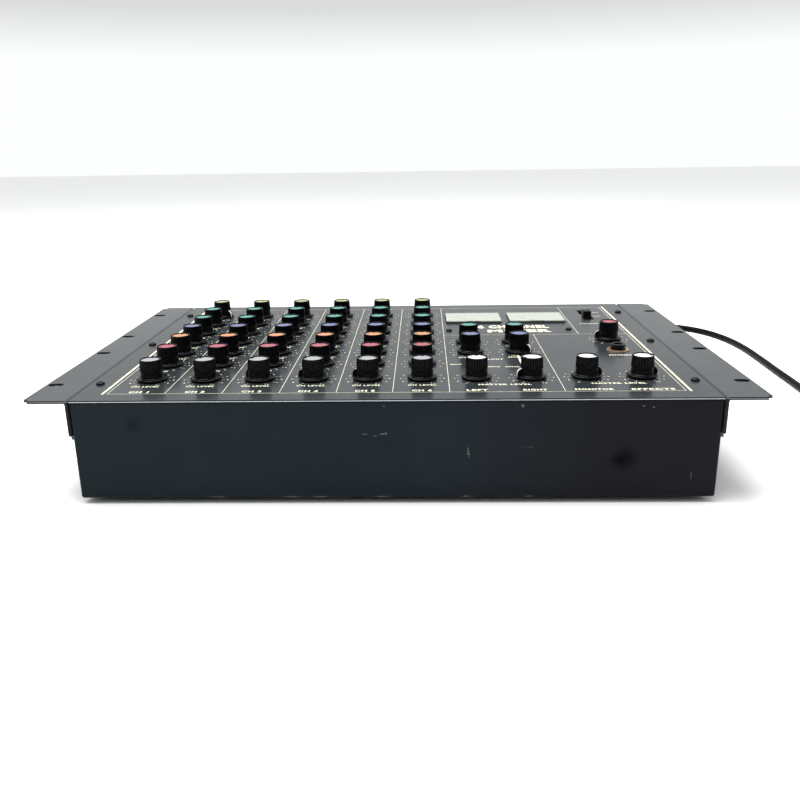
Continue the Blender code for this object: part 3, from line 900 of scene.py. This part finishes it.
def add_panel_screws():
    """The screws that hold the panel to the box's lips."""
    number = 0
    for side in (-1, 1):
        for y in (-0.1167, -0.0027, 0.1128):
            number += 1
            add_screw(f"panel_screw_{number}", (side * 0.2035, y, PANEL_TOP), 0.0030)
    for x, y in ((0.0420, 0.0403), (0.1450, 0.0418)):
        number += 1
        add_screw(f"panel_screw_{number}", (x, y, PANEL_TOP), 0.0026)


# ---------------------------------------------------------------- legend

BORDER = 0.1935
INNER_BORDER = 0.1903
FRONT_LINE = -0.1402
TOP_LINE = 0.1380
SIDE_END = 0.1398
MIDDLE_LINE = 0.0238
COLUMN_LINES = (-0.1520, -0.1138, -0.0757, -0.0380, -0.0007, 0.0369)
THIN = 0.00036
THICK = 0.0016
INK = 0.00005
LABEL_DROP = 0.0160
ROW_LABELS = {
    "level": ("CH LEVEL", 0.0196),
    "pan": ("PAN", 0.0080),
    "effects": ("EFFECTS", 0.0150),
    "monitor": ("MONITOR", 0.0155),
    "bass": ("BASS", 0.0095),
    "treble": ("TREBLE", 0.0130),
    "gain": ("GAIN", 0.0095),
}
MASTER_LABELS = {
    "effects_return_left": ("EFFECTS L", 0.0190),
    "effects_return_right": ("EFFECTS R", 0.0190),
    "master_bass": ("BASS", 0.0095),
    "master_treble": ("TREBLE", 0.0130),
}
# Other words: the words, their middle across and up the panel, their width, height and boldness.
OTHER_WORDS = (
    ("LEFT", 0.0552, -0.1361, 0.0142, 0.0038, 0.04),
    ("RIGHT", 0.0932, -0.1363, 0.0158, 0.0038, 0.04),
    ("MONITOR", 0.1320, -0.1359, 0.0255, 0.0038, 0.04),
    ("EFFECTS", 0.1703, -0.1362, 0.0285, 0.0038, 0.04),
    ("MASTER LEVEL", 0.0745, -0.1235, 0.0358, 0.0030, 0.04),
    ("MASTER LEVEL", 0.1511, -0.1222, 0.0366, 0.0030, 0.04),
    ("LIMIT", 0.0739, -0.0570, 0.0114, 0.0028, 0.03),
    ("HOLD", 0.0708, -0.0782, 0.0087, 0.0028, 0.03),
    ("OUTPUT", 0.0835, -0.0786, 0.0096, 0.0028, 0.03),
    ("INPUT", 0.0435, -0.0713, 0.0086, 0.0028, 0.03),
    ("PHONES", 0.1691, -0.0472, 0.0169, 0.0030, 0.04),
    ("POWER", 0.1672, 0.0640, 0.0164, 0.0028, 0.01),
    ("ON", 0.1815, 0.1128, 0.0056, 0.0028, 0.01),
    ("OFF", 0.1795, 0.0955, 0.0070, 0.0028, 0.01),
    ("6 CHANNEL", 0.0985, 0.0545, 0.0620, 0.0125, 0.06),
    ("MIXER", 0.1024, 0.0378, 0.0550, 0.0100, 0.06),
)
CHANNEL_WORDS = (-0.0002, -0.1363, 0.0134, 0.0040, 0.04)
PAN_SCALE = ("5", "4", "3", "2", "1", "0", "1", "2", "3", "4", "5")
PLAIN_SCALE = ("0", "1", "2", "3", "4", "5", "6", "7", "8", "9", "10")
SCALE_REACH = 0.0152
NUMBER_HEIGHT = 0.0016
NUMBER_WIDTH = 0.0014


def add_line(mesh, start, end, width):
    """A printed line between two points of the panel."""
    x0, x1 = sorted((start[0], end[0]))
    y0, y1 = sorted((start[1], end[1]))
    low = (x0 - width / 2, y0 - width / 2, PANEL_TOP + 0.00001)
    add_box(mesh, low, (x1 + width / 2, y1 + width / 2, PANEL_TOP + INK))


def add_words(mesh, words, x, y, width, height, bold=0.0, base=PANEL_TOP, index=0):
    """Adds printed words to a bmesh as a thin solid with the given middle, width and height."""
    data = bpy.data.curves.new("words", "FONT")
    data.body = words
    data.size = 1.0
    data.resolution_u = 2
    data.extrude = 0.5
    data.offset = bold
    data.space_character = 1.15
    made = bpy.data.objects.new("words", data)
    link(made)
    bpy.context.view_layer.update()
    graph = bpy.context.evaluated_depsgraph_get()
    shape = bpy.data.meshes.new_from_object(made.evaluated_get(graph))
    low = Vector([min(v.co[axis] for v in shape.vertices) for axis in range(3)])
    high = Vector([max(v.co[axis] for v in shape.vertices) for axis in range(3)])
    tall = height / (high.y - low.y)
    wide = tall if width is None else width / (high.x - low.x)
    centre = Matrix.Translation(-(low + high) / 2)
    size = Matrix.Diagonal((wide, tall, INK, 1))
    shape.transform(Matrix.Translation((x, y, base + 0.6 * INK)) @ size @ centre)
    for polygon in shape.polygons:
        polygon.material_index = index
    mesh.from_mesh(shape)
    bpy.data.objects.remove(made)
    bpy.data.meshes.remove(shape)
    bpy.data.curves.remove(data)


def add_scale(mesh, x, y, numbers):
    """Tick marks and numbers round a knob, over 300 degrees."""
    ticks = 11
    for tick in range(ticks):
        angle = math.radians(240 - 300 * tick / (ticks - 1))
        turn = Matrix.Translation((x, y, 0)) @ Matrix.Rotation(angle, 4, "Z")
        verts = add_box(mesh, (0.0117, -0.00013, PANEL_TOP + 0.00001), (0.0132, 0.00013, PANEL_TOP + INK))
        bmesh.ops.transform(mesh, matrix=turn, verts=verts)
    for number, words in enumerate(numbers):
        angle = math.radians(240 - 300 * number / (len(numbers) - 1))
        across = x + SCALE_REACH * math.cos(angle)
        along = y + SCALE_REACH * math.sin(angle)
        width = NUMBER_WIDTH * (0.6 if words == "1" else len(words))
        add_words(mesh, words, across, along, width, NUMBER_HEIGHT)


def add_legend_lines():
    """The printed border and the lines between the columns."""
    mesh = bmesh.new()
    for side in (-1, 1):
        add_line(mesh, (side * BORDER, FRONT_LINE), (side * BORDER, SIDE_END), THICK)
        add_line(mesh, (side * INNER_BORDER, FRONT_LINE), (side * INNER_BORDER, TOP_LINE), THIN)
    for y in (FRONT_LINE, TOP_LINE):
        add_line(mesh, (-INNER_BORDER, y), (INNER_BORDER, y), THIN)
    for x in COLUMN_LINES:
        add_line(mesh, (x, FRONT_LINE), (x, TOP_LINE), THIN)
    add_line(mesh, (COLUMN_LINES[-1], MIDDLE_LINE), (INNER_BORDER, MIDDLE_LINE), THIN)
    add_line(mesh, (0.1125, FRONT_LINE), (0.1125, MIDDLE_LINE), THIN)
    add_line(mesh, (0.1505, MIDDLE_LINE), (0.1505, TOP_LINE), THIN)
    for y in (-0.0458, -0.0795):
        add_line(mesh, (0.0880, y), (0.0915, y), 0.0010)
    add_line(mesh, (0.0918, -0.0795), (0.0918, -0.0458), THICK)
    add_solid("legend_lines", mesh, (LEGEND,))


def add_legend_words():
    """The printed words, scales and numbers."""
    mesh = bmesh.new()
    for joint in frame["joints"]:
        if joint["type"] != "hinge":
            continue
        knob = joint["child"]
        x, y, _ = joint["pos_m"]
        row = knob.split("_")[1] if knob.startswith("ch") else ""
        add_scale(mesh, x, y, PAN_SCALE if row == "pan" else PLAIN_SCALE)
        label = ROW_LABELS.get(row) or MASTER_LABELS.get(knob)
        if label:
            add_words(mesh, label[0], x, y - LABEL_DROP, label[1], 0.0028, 0.03)
    across, along, *size = CHANNEL_WORDS
    for channel in range(6):
        x = SOCKET_PLACES[channel][0] + across
        add_words(mesh, f"CH {channel + 1}", x, along, *size)
    for words, x, y, *size in OTHER_WORDS:
        add_words(mesh, words, x, y, *size)
    add_solid("legend_words", mesh, (LEGEND,))


# ---------------------------------------------------------------- meters, jack and switch

NEEDLE_PIVOT_DROP = 0.0145
NEEDLE_LENGTH = 0.0275
NEEDLE_REST = 137.0
SCALE_ARC = (133.0, 47.0)
METER_MARKS = ("20", "10", "7", "5", "3", "0", "3")


def add_meter(number, x, y):
    """A level meter: dark case, pale card with a printed arc, a needle and a clear lens."""
    half_width = METER_WINDOW[0] / 2 - 0.0005
    half_height = METER_WINDOW[1] / 2 - 0.0005
    top = PANEL_TOP + METER_RISE
    card_top = top - 0.0009
    mesh = bmesh.new()
    low = (x - half_width, y - half_height, PANEL_TOP - METER_DEPTH)
    add_box(mesh, low, (x + half_width, y + half_height, card_top - 0.0003))
    case = add_solid(f"meter_{number}_case", mesh, (METER_CASE,), replaces="electronics")
    soften(case, 0.0004)
    mesh = bmesh.new()
    inset = 0.0004
    low = (x - half_width + inset, y - half_height + inset, card_top - 0.0002)
    add_box(mesh, low, (x + half_width - inset, y + half_height - inset, card_top))
    pivot = Vector((x, y - NEEDLE_PIVOT_DROP, 0))
    start, end = SCALE_ARC
    steps = 40
    for step in range(steps + 1):
        angle = math.radians(start + (end - start) * step / steps)
        turn = Matrix.Translation(pivot) @ Matrix.Rotation(angle, 4, "Z")
        reach = 0.0262 if step % 4 == 0 else 0.0250
        index = 2 if step > 28 else 1
        ticks = add_box(mesh, (0.0240, -0.00010, card_top), (reach, 0.00010, card_top + INK), index)
        bmesh.ops.transform(mesh, matrix=turn, verts=ticks)
        arc = add_box(mesh, (0.0237, -0.0005, card_top), (0.0240, 0.0005, card_top + INK), index)
        bmesh.ops.transform(mesh, matrix=turn, verts=arc)
    for place, words in enumerate(METER_MARKS):
        angle = math.radians(start + (end - start) * place / (len(METER_MARKS) - 1))
        spot = pivot + 0.0283 * Vector((math.cos(angle), math.sin(angle), 0))
        add_words(mesh, words, spot.x, spot.y, None, 0.0018, 0.0, card_top, 1)
    finishes = (METER_CARD, METER_INK, METER_RED)
    add_solid(f"meter_{number}_card", mesh, finishes)
    mesh = bmesh.new()
    turn = Matrix.Translation(pivot) @ Matrix.Rotation(math.radians(NEEDLE_REST), 4, "Z")
    low = (0.002, -0.00013, card_top + 0.00015)
    stem = add_box(mesh, low, (NEEDLE_LENGTH, 0.00013, card_top + 0.0003))
    bmesh.ops.transform(mesh, matrix=turn, verts=stem)
    cover = (0.0060, 0.0032)
    low = (pivot.x - cover[0], y - half_height + inset, card_top)
    add_box(mesh, low, (pivot.x + cover[0], low[1] + cover[1], card_top + 0.00045), 1)
    add_solid(f"meter_{number}_needle", mesh, (METER_INK, METER_CARD))
    mesh = bmesh.new()
    low = (x - half_width, y - half_height, card_top + 0.0005)
    add_box(mesh, low, (x + half_width, y + half_height, top))
    lens = add_solid(f"meter_{number}_lens", mesh, (LENS,))
    soften(lens, 0.00015, 2)


def add_electronics():
    """The circuit board and everything that stands on it or hangs under it."""
    mesh = bmesh.new()
    add_box(mesh, (*BOARD_LOW, BOARD_TOP - BOARD_THICKNESS), (*BOARD_HIGH, BOARD_TOP))
    for x in (-0.176, 0.0, 0.178):
        for y in (-0.112, 0.100):
            add_cylinder(mesh, (x, y, FOOT_HEIGHT + 0.0018), (x, y, BOARD_TOP - 0.0008), 0.0035, 24)
    add_solid("circuit_board", mesh, (BOARD,), replaces="electronics")
    mesh = bmesh.new()
    can = ((0, BOARD_TOP), (0.0076, BOARD_TOP), (0.0079, BOARD_TOP + 0.0004), (0.0079, 0.0668))
    can += ((0.0076, 0.0672), (0.0041, 0.0672), (0.0041, POT_TOP - 0.0003))
    can += ((0.0038, POT_TOP), (0, POT_TOP))
    for joint in frame["joints"]:
        if joint["type"] == "hinge":
            x, y, _ = joint["pos_m"]
            add_turned(mesh, can, 24, Matrix.Translation((x, y, 0)))
    add_solid("potentiometers", mesh, (CAN_METAL,), replaces="electronics")
    mesh = bmesh.new()
    x, y = SWITCH_PLACE
    low = (x - 0.007, y - SWITCH_SLOT[1] / 2 - 0.002, BOARD_TOP)
    add_box(mesh, low, (x + 0.007, y + SWITCH_SLOT[1] / 2 - 0.006, SLIDER_LOW.z - 0.0008))
    x, y = JACK_PLACE
    for side in (-1, 1):
        inner, outer = sorted((side * 0.0064, side * 0.0080))
        low = (x + inner, y - 0.0095, PANEL_TOP - JACK_DEPTH)
        add_box(mesh, low, (x + outer, y + 0.0095, POT_TOP - 0.0005))
    add_solid("switch_and_jack_bodies", mesh, (SWITCH_BLACK,), replaces="electronics")
    mesh = bmesh.new()
    add_box(mesh, (0.110, 0.005, 0.0160), (0.166, 0.053, 0.0500), 0)
    add_box(mesh, (0.118, 0.010, 0.0100), (0.158, 0.048, 0.0550), 1)
    add_box(mesh, (0.124, 0.0128, 0.0552), (0.152, 0.0452, BOARD_TOP - BOARD_THICKNESS), 1)
    add_solid("transformer", mesh, (LAMINATION, COIL_TAPE), replaces="electronics")
    mesh = bmesh.new()
    for y in (0.012, 0.044):
        sleeve = ((0, 0.0162), (0.0102, 0.0162), (0.0108, 0.0168), (0.0108, 0.0545), (0.0104, 0.0553))
        sleeve += ((0, 0.0553),)
        add_turned(mesh, sleeve, 40, Matrix.Translation((0.085, y, 0)))
    add_solid("capacitors", mesh, (CAPACITOR_SLEEVE,), replaces="electronics")


def add_headphone_jack():
    """Ferrule, washer and the dark bore of the headphone jack."""
    x, y = JACK_PLACE
    place = Matrix.Translation((x, y, PANEL_TOP))
    mesh = bmesh.new()
    washer = ((0.0064, 0.0), (0.0084, 0.0), (0.0086, 0.0003), (0.0084, 0.0008), (0.0064, 0.0008))
    add_turned(mesh, washer, 64, place, closed=True)
    add_solid("headphone_washer", mesh, (BRASS,))
    mesh = bmesh.new()
    ferrule = (
        (0.0033, -0.020),
        (0.0062, -0.020),
        (0.0062, -0.0001),
        (0.0056, 0.0001),
        (0.0056, 0.0043),
        (0.0053, 0.0050),
        (0.0045, 0.0052),
        (0.0036, 0.0049),
        (0.0033, 0.0042),
    )
    rings = add_turned(mesh, ferrule, 64, place, closed=True)
    for row in rings[4:6]:
        for face in row:
            face.material_index = 1
    add_cylinder(mesh, (x, y, PANEL_TOP - 0.0215), (x, y, PANEL_TOP - 0.0195), 0.0062, 64)
    finishes = (SWITCH_BLACK, JACK_RIM)
    add_solid("headphone_ferrule", mesh, finishes, replaces="electronics")


def add_switch():
    """The power switch: a ribbed finger block on the CAD slider's place, and the plate in its slot."""
    mesh = bmesh.new()
    add_box(mesh, SLIDER_LOW, SLIDER_HIGH)
    name = "power_switch"
    block = add_solid(f"{name}_block", mesh, (SWITCH_BLACK,), None, f"{name}_slider", name)

    def fill(tool):
        ribs = 4
        length = SLIDER_HIGH.y - SLIDER_LOW.y
        for rib in range(ribs):
            y = SLIDER_LOW.y + length * (rib + 1) / (ribs + 1)
            low = (SLIDER_LOW.x - 0.001, y - 0.00035, SLIDER_HIGH.z - 0.0006)
            add_box(tool, low, (SLIDER_HIGH.x + 0.001, y + 0.00035, SLIDER_HIGH.z + 0.001))

    cut(block, "switch_ribs", fill)
    soften(block, 0.0005, 3, 50)
    x, y = SWITCH_PLACE
    mesh = bmesh.new()
    bottom = SLIDER_LOW.z - 0.0005
    low = (x - 0.0065, y - SWITCH_SLOT[1] / 2 - 0.003, bottom)
    add_box(mesh, low, (x + 0.0065, y + SWITCH_SLOT[1] / 2 + 0.003, bottom + 0.0003))
    add_solid("power_switch_plate", mesh, (SWITCH_PLATE,))


# ---------------------------------------------------------------- back


def add_rear_sockets():
    """Phone sockets on the rear wall: a threaded ring, a hexagonal nut and the bore."""
    for number, (x, z) in enumerate(SOCKET_PLACES, 1):
        place = Matrix.Translation((x, CASE_BACK, z)) @ towards((0, 1, 0))
        mesh = bmesh.new()
        ring = (
            (BORE_RADIUS, -0.019),
            (0.0062, -0.019),
            (0.0062, -0.0020),
            (0.0050, -0.0020),
            (0.0050, 0.0026),
            (0.0047, 0.0030),
            (0.0038, 0.0030),
            (BORE_RADIUS, 0.0025),
        )
        add_turned(mesh, ring, 48, place, closed=True)
        add_cylinder(mesh, place @ Vector((0, 0, -0.0195)), place @ Vector((0, 0, -0.0185)), 0.0062, 48)
        add_solid(f"rear_socket_{number}", mesh, (SWITCH_BLACK,))
        mesh = bmesh.new()
        nut = ((0.0051, 0.0001), (0.0075, 0.0001), (0.0075, 0.0014), (0.0070, 0.0019), (0.0051, 0.0019))
        add_turned(mesh, nut, 6, place, closed=True)
        add_solid(f"rear_socket_nut_{number}", mesh, (NICKEL,))


def smooth_line(points, step):
    """Points about a step apart on the Catmull-Rom curve through the given points."""
    knots = [Vector(p) for p in points]
    knots = [2 * knots[0] - knots[1], *knots, 2 * knots[-1] - knots[-2]]
    line = []
    for a, b, c, d in zip(knots, knots[1:], knots[2:], knots[3:]):
        count = max(1, round((c - b).length / step))
        for i in range(count):
            t = i / count
            curve = 2 * b + (c - a) * t + (2 * a - 5 * b + 4 * c - d) * t**2
            line.append((curve + (3 * b - a - 3 * c + d) * t**3) / 2)
    return [*line, knots[-2]]


def coil_line(step_degrees):
    """The lead's middle along the coil: three turns on the table and one and a half on top."""
    line = []
    for (start, radius_0, height_0), (end, radius_1, height_1) in zip(COIL_LAY, COIL_LAY[1:]):
        count = max(1, round((end - start) / step_degrees))
        for i in range(count):
            t = i / count
            ease = t * t * (3 - 2 * t)
            angle = math.radians(180 + start + (end - start) * t)
            radius = radius_0 + (radius_1 - radius_0) * ease
            height = height_0 + (height_1 - height_0) * ease
            x = COIL_CENTRE[0] + radius * math.cos(angle)
            line.append(Vector((x, COIL_CENTRE[1] + radius * math.sin(angle), height)))
    return line


def add_ribbed_sleeve(mesh, line, start_radius, end_radius, ribs):
    """A tapered sleeve along a line of points, with raised ribs."""
    count = len(line)
    rings = []
    for number, point in enumerate(line):
        ahead = line[min(number + 1, count - 1)] - line[max(number - 1, 0)]
        share = number / (count - 1)
        radius = start_radius + (end_radius - start_radius) * share
        radius -= 0.0007 * (0.5 + 0.5 * math.cos(2 * math.pi * ribs * share)) * (0.1 < share < 0.95)
        place = Matrix.Translation(point) @ towards(ahead)
        ring = []
        for side in range(32):
            angle = 2 * math.pi * side / 32
            local = Vector((radius * math.cos(angle), radius * math.sin(angle), 0))
            ring.append(mesh.verts.new(place @ local))
        rings.append(ring)
    bridge(mesh, rings)


def add_cord_gland():
    """The gland on the rear wall and the tapered strain relief round the lead."""
    mesh = bmesh.new()
    place = Matrix.Translation(GLAND) @ towards((0, 1, 0))
    flange = ((0, -0.0035), (0.0062, -0.0035), (0.0062, 0.0001), (0.0090, 0.0001), (0.0092, 0.0006))
    flange += ((0.0089, 0.0022), (0.0070, 0.0034), (0, 0.0034))
    add_turned(mesh, flange, 48, place)
    add_solid("cord_gland", mesh, (RUBBER,))
    route = smooth_line([GLAND + Vector((0, 0.002, 0)), *CORD_ROUTE[1:4]], 0.0004)
    sleeve = [p for p in route if p.y < GLAND.y + 0.036]
    mesh = bmesh.new()
    add_ribbed_sleeve(mesh, sleeve, 0.0066, 0.0042, 7)
    return add_solid("cord_strain_relief", mesh, (RUBBER,), sharp=60)


def add_plug():
    """The moulded mains plug beside the coil: grip body, strain relief, two blades and an earth pin."""
    x = COIL_CENTRE[0] + 0.0393
    relief_start = PLUG_START
    body_start = relief_start + 0.020
    body_end = body_start + 0.028
    axis = 0.0092
    mesh = bmesh.new()
    sections = (
        (0.0, 0.0060, 0.0060),
        (0.0015, 0.0085, 0.0075),
        (0.006, 0.0108, 0.0085),
        (0.012, 0.0112, 0.0086),
        (0.020, 0.0118, 0.0088),
        (0.0265, 0.0120, 0.0089),
        (0.028, 0.0114, 0.0084),
    )
    rings = []
    for along, half_width, half_height in sections:
        outline = rounded_outline(48, half_width, half_height, 0.55)
        y = body_start + along
        rings.append([mesh.verts.new((x + wide, y, axis + tall)) for wide, tall in outline])
    bridge(mesh, rings)
    for rib in range(4):
        y = body_start + 0.0075 + 0.0042 * rib
        for side in (-1, 1):
            centre = x + side * 0.0112
            low = (centre - 0.0006, y - 0.0008, axis - 0.004)
            add_box(mesh, low, (centre + 0.0006, y + 0.0008, axis + 0.004))
    line = [Vector((x, relief_start + 0.0005 * i, axis)) for i in range(44)]
    add_ribbed_sleeve(mesh, line, 0.0041, 0.0053, 5)
    plug = add_solid("mains_plug", mesh, (CORD_RUBBER,), replaces="power_plug")
    mesh = bmesh.new()
    for side in (-1, 1):
        middle = x + side * 0.0064
        low = (middle - 0.00075, body_end - 0.001, axis + 0.0032 - 0.00315)
        add_box(mesh, low, (middle + 0.00075, body_end + 0.017, axis + 0.0032 + 0.00315))
    pin = ((0, 0), (0.0024, 0), (0.0024, 0.0160), (0.0019, 0.0182), (0.0010, 0.0190), (0, 0.0192))
    place = Matrix.Translation((x, body_end - 0.001, axis - 0.0050)) @ towards((0, 1, 0))
    add_turned(mesh, pin, 32, place)
    pins = add_solid("mains_plug_pins", mesh, (NICKEL,))
    soften(pins, 0.0003, 2, 60)
    return plug, pins


def add_cord():
    """The whole lead as one curve: down to the table, round the right side, the coil, into the plug."""
    exit_point = (0.165, GLAND_END, 0.030)
    lead_in = (COIL_CENTRE[0] - COIL_LAY[0][1], COIL_CENTRE[1], COIL_LAY[0][2])
    line = smooth_line([exit_point, *CORD_ROUTE[1:], lead_in], 0.006)[:-1]
    line += coil_line(8)
    end_x = COIL_CENTRE[0] + COIL_LAY[-1][1]
    for y in (COIL_CENTRE[1], COIL_CENTRE[1] + 0.012, COIL_CENTRE[1] + 0.024, PLUG_START + 0.004):
        line.append(Vector((end_x, y, COIL_LAY[-1][2])))
    data = bpy.data.curves.new("mains_lead", "CURVE")
    data.dimensions = "3D"
    data.bevel_depth = CORD_DIAMETER / 2
    data.bevel_resolution = 5
    data.use_fill_caps = True
    spline = data.splines.new("POLY")
    spline.points.add(len(line) - 1)
    for point, place in zip(spline.points, line):
        point.co = (*place, 1.0)
    spline.use_smooth = True
    lead = add_piece("mains_lead", data, (CORD_RUBBER,))
    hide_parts("power_cord", "power_cord_coil")


def add_coil_tie():
    """The strap that holds the coil together, at its front."""
    mesh = bmesh.new()
    x, y = COIL_CENTRE
    middle = y - 0.0360
    rings = []
    for across, wall in ((-0.003, 0.0), (0.003, 0.0), (0.003, 0.0008), (-0.003, 0.0008)):
        outline = rounded_outline(48, 0.0112 + wall, 0.0061 + wall, 0.6)
        rings.append([mesh.verts.new((x + across, middle + out, 0.0072 + up)) for out, up in outline])
    bridge(mesh, rings, looped=True)
    return add_solid("coil_tie", mesh, (CORD_RUBBER,))


# ---------------------------------------------------------------- camera, lights and stage


def add_camera():
    """The camera stands low in front of the object, a little to the right of its middle."""
    data = bpy.data.cameras.new("camera")
    data.lens = 36.76
    data.sensor_width = 36.0
    data.clip_start = 0.01
    data.clip_end = 50.0
    camera = bpy.data.objects.new("camera", data)
    link(camera)
    right = Vector((0.99955, 0.02627, -0.01456))
    forward = Vector((-0.02944, 0.95268, -0.30254))
    up = right.cross(forward)
    turn = Matrix((right, up, -forward)).transposed()
    camera.matrix_world = Matrix.Translation((0.01995, -0.652575, 0.23035)) @ turn.to_4x4()
    bpy.context.scene.camera = camera


def add_area_light(name, place, aim, size, power):
    """A square soft light that points at a place."""
    data = bpy.data.lights.new(name, "AREA")
    data.size = size
    data.energy = power
    light = bpy.data.objects.new(name, data)
    link(light)
    light.location = place
    direction = Vector(aim) - Vector(place)
    light.rotation_euler = direction.to_track_quat("-Z", "Y").to_euler()


# The world's light: the side it comes from, and its level in front and in a band above the horizon.
BACKDROP_SIDE = (0.0, 0.75, 0.66)
ROOM_LEVEL = 0.12
BAND_LEVEL = 0.72


def add_surroundings():
    """A white backdrop behind and above, and a dimmer room in front, so dark paint keeps its depth."""
    world = bpy.data.worlds.new("studio")
    world.use_nodes = True
    work = Nodes(world.node_tree)
    direction = work.node("ShaderNodeTexCoord").outputs["Generated"]
    facing = work.node("ShaderNodeVectorMath", operation="DOT_PRODUCT")
    facing.inputs[1].default_value = BACKDROP_SIDE
    work.join(direction, facing.inputs[0])
    strength = work.remap(facing.outputs["Value"], -0.55, 0.15, ROOM_LEVEL, 1.0, "SMOOTHSTEP")
    apart = work.node("ShaderNodeSeparateXYZ")
    work.join(direction, apart.inputs[0])
    height = apart.outputs["Z"]
    band = work.multiply(work.remap(height, 0.09, 0.14), work.remap(height, 0.26, 0.45, 1.0, 0.0))
    strength = work.multiply(strength, work.remap(band, 0.0, 1.0, 1.0, BAND_LEVEL))
    background = work.tree.nodes["Background"]
    background.inputs["Color"].default_value = (0.985, 0.995, 1.0, 1.0)
    work.join(strength, background.inputs["Strength"])
    bpy.context.scene.world = world


def add_stage():
    """White table, and soft light from above and behind."""
    mesh = bmesh.new()
    add_box(mesh, (-6, -6, -0.02), (6, 6, -0.00005))
    finish = Finish("table_white", (0.93, 0.93, 0.93), 0.7, specular=0.1)
    data = mesh_data("table", mesh)
    data.materials.append(finish.material)
    table = bpy.data.objects.new("table", data)
    link(table)
    add_surroundings()
    add_area_light("key", (-0.32, 0.08, 1.8), (0, 0.0, 0), 1.5, 58)
    bpy.context.scene.view_settings.view_transform = "Standard"


add_camera()
add_stage()
plug_pieces = add_plug()
tie = add_coil_tie()
relief = add_cord_gland()
add_cord()
add_knobs()
add_panel()
add_ear("left_ear", "rack_ear_left", -1)
add_ear("right_ear", "rack_ear_right", 1)
add_case()
add_feet()
add_panel_screws()
add_legend_lines()
add_legend_words()
for meter, (meter_x, meter_y) in enumerate(METER_PLACES, 1):
    add_meter(meter, meter_x, meter_y)
add_headphone_jack()
add_switch()
add_rear_sockets()
add_electronics()
